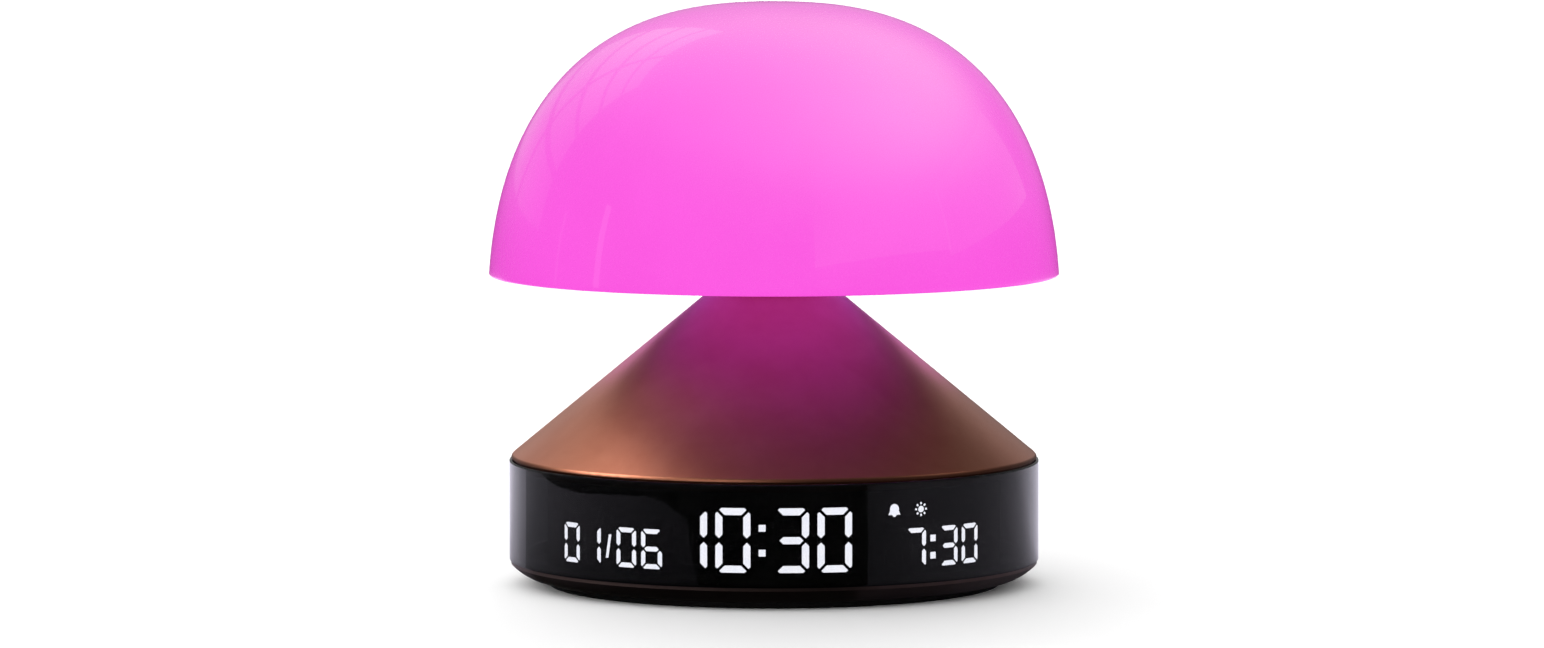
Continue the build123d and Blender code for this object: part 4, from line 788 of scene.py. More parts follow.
class GeometryForm:
    """A shape that Geometry Nodes work out from named sizes."""

    def __init__(self, name: str, sizes: dict[str, float | int]) -> None:
        """Makes an empty tree with its inputs.

        Args:
            name: The tree's name.
            sizes: Its inputs and their values; a whole number makes a whole-number input.
        """
        self.name = name
        self.tree = bpy.data.node_groups.new(f"form_{name}", "GeometryNodeTree")
        self.graph = Graph(self.tree)
        self.values = {}
        face = self.tree.interface
        face.new_socket("Geometry", in_out="INPUT", socket_type="NodeSocketGeometry")
        face.new_socket("Geometry", in_out="OUTPUT", socket_type="NodeSocketGeometry")
        for label, value in sizes.items():
            kind = "NodeSocketInt" if isinstance(value, int) else "NodeSocketFloat"
            socket = face.new_socket(label, in_out="INPUT", socket_type=kind)
            self.values[socket.identifier] = value
        socket = face.new_socket("Finish", in_out="INPUT", socket_type="NodeSocketMaterial")
        self.finish_key = socket.identifier
        self.given = self.graph.add("NodeGroupInput").outputs

    def end(self, geometry: Socket) -> None:
        """Ends the tree in plain, dressed geometry.

        Args:
            geometry: The finished shape's socket.
        """
        real = self.graph.add("GeometryNodeRealizeInstances", {0: geometry}).outputs[0]
        finish = {"Geometry": real, "Material": self.given["Finish"]}
        dressed = self.graph.add("GeometryNodeSetMaterial", finish).outputs[0]
        self.graph.add("NodeGroupOutput", {"Geometry": dressed})

    def grow(self, material: Material, seed: Mesh | None = None) -> Piece:
        """Works the tree out and keeps the result as a plain mesh.

        Args:
            material: The finish that the tree sets.
            seed: A mesh that the tree starts from, such as points.

        Returns:
            The finished piece.
        """
        piece = object_from(self.name, seed or bpy.data.meshes.new(self.name))
        modifier = piece.modifiers.new("form", "NODES")
        modifier.node_group = self.tree
        for key, value in self.values.items():
            modifier[key] = value
        modifier[self.finish_key] = material
        mesh = plain_mesh(piece)
        piece.modifiers.remove(modifier)
        piece.data = mesh
        mesh.name = self.name
        return piece


# ------------------------------------------------------------------------------ lamp head
@dataclass
class LampHead:
    """The opal dome: a superellipse of revolution with a rounded rim, a ledge and snaps inside."""

    radius: float = 70.95 * MM
    rise: float = 81.5 * MM
    side_power: float = 2.5
    top_power: float = 2.446
    wall: float = 2.2 * MM
    rim_above_equator: float = 14.1 * MM
    rim_round: float = 0.5 * MM
    rim_steps: int = 5
    around: int = 288
    up: int = 72
    hub_drop: float = 1.0 * MM
    ledge_width: float = 1.6 * MM
    ledge_height: float = 1.2 * MM
    snap_count: int = 6
    snap_angle: float = 7.0
    snap_depth: float = 1.3 * MM
    snap_height: float = 0.8 * MM
    snap_steps: int = 8

    def rim_height(self) -> float:
        """Returns the rim's height above the floor."""
        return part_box("lampshade")[0].z

    def inner_radius(self, height: float) -> float:
        """Works out the dome's inner radius.

        Args:
            height: The height above the floor.

        Returns:
            The radius there.
        """
        share = (height - self.rim_height() + self.rim_above_equator) / (self.rise - self.wall)
        turn = math.asin(share ** (self.top_power / 2))
        return (self.radius - self.wall) * math.cos(turn) ** (2 / self.side_power)

    def outline(self, form: GeometryForm, turn: object, wall: object) -> tuple:
        """Adds the nodes that place a point of the dome's outline.

        Args:
            form: The dome's tree.
            turn: The outline's own angle.
            wall: How far the outline is moved in.

        Returns:
            The point's radius and height sockets.
        """
        graph, given = form.graph, form.given
        level = graph.math("MAXIMUM", graph.math("COSINE", turn), 0.0)
        across = graph.math("POWER", level, graph.math("DIVIDE", 2.0, given["Side Power"]))
        power = graph.math("DIVIDE", 2.0, given["Top Power"])
        upward = graph.math("POWER", graph.math("SINE", turn), power)
        radius = graph.math("MULTIPLY", graph.math("SUBTRACT", given["Radius"], wall), across)
        lift = graph.math("MULTIPLY", graph.math("SUBTRACT", given["Rise"], wall), upward)
        return radius, graph.math("ADD", lift, given["Equator"])

    def first_turn(self, form: GeometryForm, wall: object) -> Socket:
        """Adds the nodes that find where the rounded rim meets the outline.

        Args:
            form: The dome's tree.
            wall: How far the outline is moved in.

        Returns:
            The outline's angle there.
        """
        graph, given = form.graph, form.given
        start = graph.math("ADD", given["Rim Height"], given["Rim Round"])
        rise = graph.math("SUBTRACT", given["Rise"], wall)
        share = graph.math("DIVIDE", graph.math("SUBTRACT", start, given["Equator"]), rise)
        power = graph.math("DIVIDE", given["Top Power"], 2.0)
        return graph.math("ARCSINE", graph.math("POWER", share, power))

    def sheet(self, form: GeometryForm, rows: object, place: Callable, inside: bool) -> Socket:
        """Adds a grid that is wrapped round the axis.

        Args:
            form: The dome's tree.
            rows: How many rows of points it has.
            place: A function from the row's share to its radius and height sockets.
            inside: Whether its faces are turned round.

        Returns:
            The wrapped grid.
        """
        graph, given = form.graph, form.given
        sizes = {"Size X": 1.0, "Size Y": 1.0, "Vertices X": given["Around"], "Vertices Y": rows}
        grid = graph.add("GeometryNodeMeshGrid", sizes).outputs["Mesh"]
        parts = graph.parts(graph.add("GeometryNodeInputPosition").outputs[0])
        turn = graph.math("MULTIPLY", graph.math("ADD", parts[0], 0.5), FULL_TURN)
        radius, height = place(graph.math("ADD", parts[1], 0.5))
        side = graph.math("MULTIPLY", radius, graph.math("COSINE", turn))
        back = graph.math("MULTIPLY", radius, graph.math("SINE", turn))
        point = {"Geometry": grid, "Position": graph.vector(side, back, height)}
        sheet = graph.add("GeometryNodeSetPosition", point).outputs[0]
        if inside:
            sheet = graph.add("GeometryNodeFlipFaces", {0: sheet}).outputs[0]
        return sheet

    def wall_sheet(self, form: GeometryForm, wall: object, inside: bool) -> Socket:
        """Adds the dome's outer or inner face.

        Args:
            form: The dome's tree.
            wall: How far the face is moved in.
            inside: Whether it is the inner face.

        Returns:
            The face's geometry.
        """
        graph = form.graph
        first = self.first_turn(form, wall)
        rest = graph.math("SUBTRACT", math.pi / 2, first)

        def place(share: object) -> tuple:
            """Returns the radius and height of a row."""
            return self.outline(form, graph.math("ADD", first, graph.math("MULTIPLY", share, rest)), wall)

        return self.sheet(form, form.given["Up"], place, inside)

    def rim_sheet(self, form: GeometryForm) -> Socket:
        """Adds the rim: two quarter rounds with a flat between them.

        Args:
            form: The dome's tree.

        Returns:
            The rim's geometry.
        """
        graph, given = form.graph, form.given
        bend = given["Rim Round"]
        outer = self.outline(form, self.first_turn(form, 0.0), 0.0)[0]
        inner = self.outline(form, self.first_turn(form, given["Wall"]), given["Wall"])[0]
        middle_height = graph.math("ADD", given["Rim Height"], bend)
        last = 2 * self.rim_steps + 1

        def place(share: object) -> tuple:
            """Returns the radius and height of a row."""
            row = graph.math("ROUND", graph.math("MULTIPLY", share, last))
            second = graph.math("GREATER_THAN", row, self.rim_steps + 0.5)
            quarter = graph.math("DIVIDE", graph.math("SUBTRACT", row, second), self.rim_steps)
            turn = graph.math("MULTIPLY", quarter, -math.pi / 2)
            first_middle = graph.math("SUBTRACT", outer, bend)
            step = graph.math("SUBTRACT", graph.math("ADD", inner, bend), first_middle)
            middle = graph.math("ADD", first_middle, graph.math("MULTIPLY", second, step))
            radius = graph.math("ADD", middle, graph.math("MULTIPLY", bend, graph.math("COSINE", turn)))
            rise = graph.math("MULTIPLY", bend, graph.math("SINE", turn))
            return radius, graph.math("ADD", middle_height, rise)

        return self.sheet(form, last + 1, place, True)

    def dome(self, material: Material) -> Piece:
        """Builds the shade.

        Args:
            material: Its finish.

        Returns:
            The shade.
        """
        rim = self.rim_height()
        sizes = {
            "Radius": self.radius,
            "Rise": self.rise,
            "Wall": self.wall,
            "Side Power": self.side_power,
            "Top Power": self.top_power,
            "Equator": rim - self.rim_above_equator,
            "Rim Height": rim,
            "Rim Round": self.rim_round,
            "Around": self.around + 1,
            "Up": self.up,
        }
        form = GeometryForm("opal_dome", sizes)
        sheets = (
            self.wall_sheet(form, 0.0, False),
            self.rim_sheet(form),
            self.wall_sheet(form, form.given["Wall"], True),
        )
        joined = form.graph.add("GeometryNodeJoinGeometry")
        for sheet in sheets:
            form.tree.links.new(sheet, joined.inputs[0])
        merge = {"Geometry": joined.outputs[0], "Distance": MERGE_DISTANCE}
        closed = form.graph.add("GeometryNodeMergeByDistance", merge).outputs[0]
        form.end(form.graph.add("GeometryNodeSetShadeSmooth", {"Geometry": closed}).outputs[0])
        return form.grow(material)

    def seat(self) -> Piece:
        """Builds the ledge and the snaps that hold the underplate.

        Returns:
            The ring of ledge and snaps.
        """
        low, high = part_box("shade_underplate")
        plate_low, plate_high = low.z + self.hub_drop, high.z
        hidden = self.wall / 2
        work = bmesh.new()
        ledge = self.inner_radius(plate_high)
        top = plate_high + self.ledge_height
        corners = [
            (ledge - self.ledge_width, plate_high),
            (ledge + hidden, plate_high),
            (ledge + hidden, top),
            (ledge - self.ledge_width, top),
        ]
        sweep(work, corners, 0, CIRCLE, self.around // 2)
        wall = self.inner_radius(self.rim_height() + self.rim_round)
        tab_low = plate_low - self.snap_height
        corners = [
            (wall - self.snap_depth, plate_low),
            (wall - self.snap_depth, plate_low - self.snap_height / 2),
            (wall - self.snap_depth / 2, tab_low),
            (wall + hidden, tab_low),
            (wall + hidden, plate_low),
        ]
        for index in range(self.snap_count):
            middle = CIRCLE * index / self.snap_count
            sweep(work, corners, middle - self.snap_angle, middle + self.snap_angle, self.snap_steps)
        return piece_from("shade_seat", work)

    def build(self, palette: Palette) -> list[Piece]:
        """Builds and dresses the lamp head's pieces.

        Args:
            palette: The clock's finishes.

        Returns:
            The shade and its seat.
        """
        dome = self.dome(palette[Slot.OPAL_SHADE])
        seat = self.seat()
        for piece in (dome, seat):
            palette.dress(piece, Slot.OPAL_SHADE)
            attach(piece, Body.HEAD.value)
            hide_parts("lampshade")
            LOG.info("built %s", piece.name)
        return [dome, seat]


@dataclass
class NeckParts:
    """The coil spring in the neck and the lamp's cable, which both shorten as the head is pressed."""

    wire_radius: float = 0.45 * MM
    turns: float = 5.0
    coil_steps: int = 40
    wire_sides: int = 12
    cable_radius: float = 1.3 * MM
    cable_bend: float = 8.0 * MM
    cable_sides: int = 8
    travel: float = 1.2 * MM

    def spring(self, material: Material) -> Piece:
        """Builds the coil.

        Args:
            material: Its finish.

        Returns:
            The spring.
        """
        low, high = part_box("head_spring")
        radius = (high.x - low.x) / 2 - self.wire_radius
        sizes = {
            "Coil Radius": radius,
            "Wire Radius": self.wire_radius,
            "Height": high.z - low.z - 2 * self.wire_radius,
            "Turns": self.turns,
            "Bottom": low.z + self.wire_radius,
            "Steps": self.coil_steps,
            "Sides": self.wire_sides,
        }
        form = GeometryForm("neck_spring", sizes)
        graph, given = form.graph, form.given
        coil = {
            "Resolution": given["Steps"],
            "Rotations": given["Turns"],
            "Start Radius": given["Coil Radius"],
            "End Radius": given["Coil Radius"],
            "Height": given["Height"],
        }
        path = graph.add("GeometryNodeCurveSpiral", coil).outputs[0]
        lifted = {"Geometry": path, "Offset": graph.vector(0.0, 0.0, given["Bottom"])}
        path = graph.add("GeometryNodeSetPosition", lifted).outputs[0]
        round_wire = {"Resolution": given["Sides"], "Radius": given["Wire Radius"]}
        wire = graph.add("GeometryNodeCurvePrimitiveCircle", round_wire).outputs[0]
        tube = {"Curve": path, "Profile Curve": wire, "Fill Caps": True}
        mesh = graph.add("GeometryNodeCurveToMesh", tube).outputs[0]
        form.end(graph.add("GeometryNodeSetShadeSmooth", {"Geometry": mesh}).outputs[0])
        return form.grow(material)

    def cable(self) -> Piece:
        """Builds the lamp's cable: up the stem and across to its connector.

        Returns:
            The cable.
        """
        low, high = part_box("head_cable")
        level = high.z - self.cable_radius
        curve = bpy.data.curves.new("head_lead", "CURVE")
        curve.dimensions = "3D"
        curve.bevel_depth = self.cable_radius
        curve.bevel_resolution = self.cable_sides // 2
        curve.use_fill_caps = True
        route = (
            (0.0, low.z),
            (0.0, (low.z + level) / 2),
            (0.0, level - 2 * self.cable_bend),
            (0.0, level - self.cable_bend / 4),
            (self.cable_bend / 4, level),
            (self.cable_bend, level),
            (high.x, level),
        )
        spline = curve.splines.new("NURBS")
        spline.points.add(len(route) - 1)
        for point, (across, height) in zip(spline.points, route):
            point.co = (across, 0.0, height, 1.0)
        spline.order_u = 3
        spline.use_endpoint_u = True
        holder = object_from("head_lead", curve)
        mesh = plain_mesh(holder)
        bpy.data.objects.remove(holder)
        mesh.materials.clear()
        return object_from("head_lead", mesh)

    def build(self, palette: Palette, fixed_ends: dict[str, float]) -> None:
        """Builds, dresses and fastens both parts.

        Args:
            palette: The clock's finishes.
            fixed_ends: The height of each node's fixed end; not used.
        """
        parts = (
            (self.spring(palette[Slot.SPRING_STEEL]), "head_spring", Slot.SPRING_STEEL),
            (self.cable(), "head_cable", Slot.LEAD_SLEEVE),
        )
        for piece, node, slot in parts:
            palette.dress(piece, slot)
            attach(piece, Body.BASE.value)
            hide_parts(node)
            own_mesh(piece)
            LOG.info("built %s", piece.name)


# ------------------------------------------------------------------------------ display drum
@dataclass
class DisplayWindow:
    """The smoked band with polished edges."""

    wall: float = 2.25 * MM
    edge: float = 0.4 * MM
    edge_steps: int = 4
    edge_support: float = 0.1 * MM
    open_angle: float = 33.0
    steps: int = 420

    def build(self, palette: Palette) -> None:
        """Builds and dresses the window.

        Args:
            palette: The clock's finishes.
        """
        low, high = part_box("display_window")
        radius = -low.y
        bore = radius - self.wall
        middle = radius - self.edge
        flat = self.edge + self.edge_support
        profile = [(bore, low.z), (radius - flat, low.z)]
        profile += arc((middle, low.z + self.edge), self.edge, -90, 0, self.edge_steps)
        profile += [(radius, low.z + flat), (radius, high.z - flat)]
        profile += arc((middle, high.z - self.edge), self.edge, 0, 90, self.edge_steps)
        profile += [(radius - flat, high.z), (bore, high.z)]
        work = bmesh.new()
        last = CIRCLE / 2 - self.open_angle
        sweep(work, profile, -last, last, self.steps)
        piece = piece_from("smoked_band", work)
        palette.dress(piece, Slot.SMOKED_WINDOW)
        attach(piece, Body.BASE.value)
        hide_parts("display_window")
        LOG.info("built %s", piece.name)


# ------------------------------------------------------------------------------ rear keys
class Mark(Enum):
    """The plain signs on the rear keys."""

    DIAL = "dial"
    BELL = "bell"
    MINUS = "minus"
    PLUS = "plus"
    SUN = "sun"


@dataclass
class KeyMarks:
    """Thin metal inlays that say what each rear key does."""

    size: float = 1.7 * MM
    stroke: float = 0.36 * MM
    proud: float = 0.09 * MM
    sunk: float = 0.15 * MM
    round_steps: int = 32
    ray_count: int = 8
    long_hand: float = 0.72
    short_hand: float = 0.42
    bell_crown: float = 0.62
    bell_rise: float = 0.15
    bell_mouth: Pair = (0.95, -0.55)
    clapper: float = 0.26
    clapper_drop: float = -0.72
    sun_disc: float = 0.42
    ray_start: float = 0.62
    arm: float = 0.8

    def lift(self, at: Vector, reach: float, across: float, up: float, out: float) -> Place:
        """Puts a flat point on the curved face of a key.

        Args:
            at: The key's middle.
            reach: The radius of the key's face round the clock's axis.
            across: How far the point is to the right, seen from behind.
            up: How far it is up.
            out: How far it stands off the face.

        Returns:
            The point in the clock's frame.
        """
        side = at.x - across
        return side, math.sqrt((reach + out) ** 2 - side**2), at.z + up

    def plate(self, work: WorkMesh, at: Vector, reach: float, corners: Profile, hole: Profile) -> None:
        """Adds a thin plate.

        Args:
            work: The working mesh.
            at: The key's middle.
            reach: The radius of the key's face.
            corners: The plate's outline.
            hole: The outline of the hole in it, of as many corners, or nothing.
        """
        levels = (-self.sunk, self.proud)
        outer, inner = (
            [[work.verts.new(self.lift(at, reach, *corner, out)) for corner in edge] for out in levels]
            for edge in (corners, hole)
        )
        bridge(work, *outer)
        bridge(work, *inner)
        for loop, cut in zip(outer, inner):
            if cut:
                bridge(work, loop, cut)
            else:
                work.faces.new(loop)

    def round(self, radius: float) -> Profile:
        """Returns the outline of a disc."""
        return arc((0, 0), radius, 0, CIRCLE, self.round_steps)[:-1]

    def bar(self, start: Pair, turn: float, length: float) -> Profile:
        """Works out a straight stroke.

        Args:
            start: The middle of its first end.
            turn: Its direction in degrees.
            length: Its length.

        Returns:
            Its corners.
        """
        across, up = math.cos(math.radians(turn)), math.sin(math.radians(turn))
        half = self.stroke / 2
        corners = ((0, -half), (length, -half), (length, half), (0, half))
        return [
            (start[0] + along * across - side * up, start[1] + along * up + side * across)
            for along, side in corners
        ]

    def shapes(self, mark: Mark) -> list[tuple[Profile, Profile]]:
        """Draws a sign.

        Args:
            mark: Which sign.

        Returns:
            The outline and hole of each of its plates.
        """
        size, half = self.size, self.stroke / 2
        if mark is Mark.DIAL:
            upright = self.bar((0, -self.stroke), 90, size * self.long_hand)
            level = self.bar((half, 0), 0, size * self.short_hand)
            return [(self.round(size), self.round(size - self.stroke)), (upright, []), (level, [])]
        if mark is Mark.BELL:
            dome = arc((0, size * self.bell_rise), size * self.bell_crown, 0, 180, self.round_steps // 2)
            wide, low = size * self.bell_mouth[0], size * self.bell_mouth[1]
            foot = (0, size * self.clapper_drop)
            clapper = arc(foot, size * self.clapper, 180, CIRCLE, self.round_steps // 4)
            return [(dome + [(-wide, low), (wide, low)], []), (clapper, [])]
        if mark is Mark.SUN:
            start = size * self.ray_start
            ends = arc((0, 0), start, 0, CIRCLE, self.ray_count)[:-1]
            turns = [CIRCLE * index / self.ray_count for index in range(self.ray_count)]
            rays = [self.bar(end, turn, size - start) for end, turn in zip(ends, turns)]
            return [(plate, []) for plate in (self.round(size * self.sun_disc), *rays)]
        reach = size * self.arm
        level = self.bar((-reach, 0), 0, 2 * reach)
        if mark is Mark.MINUS:
            return [(level, [])]
        up, down = self.bar((0, half), 90, reach - half), self.bar((0, -half), -90, reach - half)
        return [(level, []), (up, []), (down, [])]

    def build(self, palette: Palette) -> None:
        """Builds, dresses and fastens every sign.

        Args:
            palette: The clock's finishes.
        """
        keys = (
            ("clock_button", Body.CLOCK_KEY, Mark.DIAL),
            ("alarm_button", Body.ALARM_KEY, Mark.BELL),
            ("minus_button", Body.MINUS_KEY, Mark.MINUS),
            ("plus_button", Body.PLUS_KEY, Mark.PLUS),
            ("light_button", Body.LIGHT_KEY, Mark.SUN),
        )
        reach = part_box("minus_button")[1].y
        for node, body, mark in keys:
            low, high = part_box(node)
            work = bmesh.new()
            for corners, hole in self.shapes(mark):
                self.plate(work, (low + high) / 2, reach, corners, hole)
            piece = piece_from(f"{mark.value}_mark", work)
            palette.dress(piece, Slot.SOCKET_STEEL)
            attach(piece, body.value)
            LOG.info("built %s", piece.name)


# ------------------------------------------------------------------------------ screws
def scaled_across(graph: Graph, body: object, place: object, scale: object, drop: object) -> Socket:
    """Scales a body about the upright axis and lifts it.

    Args:
        graph: The tree's graph.
        body: The body's geometry.
        place: The place of its points.
        scale: How wide each point stays.
        drop: How far the body is lifted.

    Returns:
        The new geometry.
    """
    both = {0: place, 1: graph.vector(scale, scale, 1.0)}
    moved = graph.add("ShaderNodeVectorMath", both, operation="MULTIPLY").outputs[0]
    given = {"Geometry": body, "Position": moved, "Offset": graph.vector(0.0, 0.0, drop)}
    return graph.add("GeometryNodeSetPosition", given).outputs[0]


class Facing(Enum):
    """Which way a screw's head looks, as a turn about the side axis."""

    UP = 0.0
    DOWN = math.pi
    FRONT = math.pi / 2


@dataclass
class ScrewSet:
    """Threaded screws with a domed head and a six-sided socket."""

    node: str
    body: Body
    facing: Facing = Facing.UP
    shank: float = 1.0 * MM
    head: float = 1.2 * MM
    socket: float = 0.9 * MM
    pitch: float = 0.8 * MM
    thread: float = 0.16
    crown: float = 0.12
    crown_power: float = 4.0
    tip: float = 0.8 * MM
    tip_width: float = 0.55
    sides: int = 24
    head_rings: tuple[int, int] = (6, 3)
    socket_sides: int = 6
    steps_per_turn: int = 4

    def crowns(self) -> list[tuple[Vector, float, float]]:
        """Finds each screw of the node.

        Returns:
            The middle of each head's outer face, the head's radius and the whole length.
        """
        found = []
        for low, high in islands(bpy.data.objects[self.node]):
            middle = (low + high) / 2
            if self.facing is Facing.FRONT:
                found.append((Vector((middle.x, low.y, middle.z)), (high.x - low.x) / 2, high.y - low.y))
                continue
            level = high.z if self.facing is Facing.UP else low.z
            found.append((Vector((middle.x, middle.y, level)), (high.x - low.x) / 2, high.z - low.z))
        return found

    def head_mesh(self, form: GeometryForm) -> Socket:
        """Adds the domed head with its socket.

        Args:
            form: The screw's tree.

        Returns:
            The head, with its outer face at height 0.
        """
        graph, given = form.graph, form.given
        sizes = {
            "Vertices": given["Sides"],
            "Side Segments": self.head_rings[0],
            "Fill Segments": self.head_rings[1],
            "Radius": given["Head Radius"],
            "Depth": given["Head Height"],
        }
        body = graph.add("GeometryNodeMeshCylinder", sizes).outputs["Mesh"]
        place = graph.add("GeometryNodeInputPosition").outputs[0]
        share = graph.math("ADD", graph.math("DIVIDE", graph.parts(place)[2], given["Head Height"]), 0.5)
        drawn = graph.math("MULTIPLY", graph.math("POWER", share, self.crown_power), given["Crown"])
        low = graph.math("MULTIPLY", given["Head Height"], -0.5)
        body = scaled_across(graph, body, place, graph.math("SUBTRACT", 1.0, drawn), low)
        recess = {
            "Vertices": self.socket_sides,
            "Side Segments": 1,
            "Fill Segments": 1,
            "Radius": given["Socket Radius"],
            "Depth": given["Head Height"],
        }
        cutter = graph.add("GeometryNodeMeshCylinder", recess).outputs["Mesh"]
        pair = {"Mesh 1": body, "Mesh 2": cutter}
        return graph.add("GeometryNodeMeshBoolean", pair, operation="DIFFERENCE").outputs["Mesh"]

    def shank_mesh(self, form: GeometryForm) -> Socket:
        """Adds the threaded shank.

        Args:
            form: The screw's tree.

        Returns:
            The shank, hanging from the head's seat.
        """
        graph, given = form.graph, form.given
        sizes = {
            "Vertices": given["Sides"],
            "Side Segments": given["Thread Steps"],
            "Fill Segments": 1,
            "Radius": given["Shank Radius"],
            "Depth": given["Shank Length"],
        }
        body = graph.add("GeometryNodeMeshCylinder", sizes).outputs["Mesh"]
        place = graph.add("GeometryNodeInputPosition").outputs[0]
        parts = graph.parts(place)
        turn = graph.math("DIVIDE", graph.math("ARCTAN2", parts[1], parts[0]), FULL_TURN)
        wave = graph.math("ADD", graph.math("DIVIDE", parts[2], given["Pitch"]), turn)
        groove = graph.math("MULTIPLY", graph.math("PINGPONG", wave, 0.5), given["Thread"])
        half = graph.math("MULTIPLY", given["Shank Length"], 0.5)
        above = graph.math("DIVIDE", graph.math("ADD", parts[2], half), given["Tip"])
        taper = graph.span(above, 0.0, 1.0, self.tip_width, 1.0)
        ridge = graph.math("SUBTRACT", 1.0, graph.math("MULTIPLY", groove, 2.0))
        low = graph.math("SUBTRACT", graph.math("MULTIPLY", half, -1.0), given["Head Height"])
        return scaled_across(graph, body, place, graph.math("MULTIPLY", ridge, taper), low)

    def build(self, palette: Palette) -> None:
        """Builds, dresses and fastens the node's screws.

        Args:
            palette: The clock's finishes.
        """
        found = self.crowns()
        length = found[0][2] - self.head
        sizes = {
            "Head Radius": found[0][1],
            "Head Height": self.head,
            "Socket Radius": self.socket,
            "Crown": self.crown,
            "Shank Radius": self.shank,
            "Shank Length": length,
            "Pitch": self.pitch,
            "Thread": self.thread,
            "Tip": self.tip,
            "Sides": self.sides,
            "Thread Steps": max(2, round(length / self.pitch * self.steps_per_turn)),
        }
        form = GeometryForm(f"{self.node}_set", sizes)
        graph = form.graph
        joined = graph.add("GeometryNodeJoinGeometry")
        for part in (self.head_mesh(form), self.shank_mesh(form)):
            form.tree.links.new(part, joined.inputs[0])
        spots = graph.add("GeometryNodeMeshToPoints", {"Mesh": form.given["Geometry"]}).outputs[0]
        turned = {"Points": spots, "Instance": joined.outputs[0], "Rotation": (self.facing.value, 0.0, 0.0)}
        form.end(graph.add("GeometryNodeInstanceOnPoints", turned).outputs[0])
        seed = bpy.data.meshes.new(self.node + "_spots")
        seed.from_pydata([place for place, _, _ in found], [], [])
        piece = form.grow(palette[Slot.SCREW_STEEL], seed)
        piece.data.materials.clear()
        soften(piece.data)
        palette.dress(piece, Slot.SCREW_STEEL)
        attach(piece, self.body.value)
        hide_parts(self.node)
        LOG.info("built %s", piece.name)


SCREWS = (
    ScrewSet(
        "case_screws", Body.BASE, Facing.DOWN, shank=1.5 * MM, head=2.0 * MM, socket=1.45 * MM,
        pitch=1.2 * MM,
    ),
    ScrewSet("board_screws", Body.BASE),
    ScrewSet("inlet_screws", Body.BASE),
    ScrewSet("panel_screws", Body.BASE, Facing.FRONT),
    ScrewSet("speaker_screws", Body.BASE),
    ScrewSet("head_screws", Body.HEAD),
    ScrewSet("led_board_screws", Body.HEAD),
)


# ------------------------------------------------------------------------------ studio
NEAR_UPRIGHT = 0.99
CONE_LIGHT_AIM = Vector((0.0, 0.0, 0.05))
CONE_LIGHT_DISTANCE = 3.0
CONE_LIGHT_SIZE = (1.3, 1.0)


class Receivers(Enum):
    """What a light falls on."""

    SHADE = "shade"
    CONE = "cone"
    METAL = "metal"


class Pattern(Enum):
    """How a light's brightness varies over its face."""

    EVEN = "even"
    POOL = "pool"
    DISC = "disc"
    RISE = "rise"
    PANES = "panes"


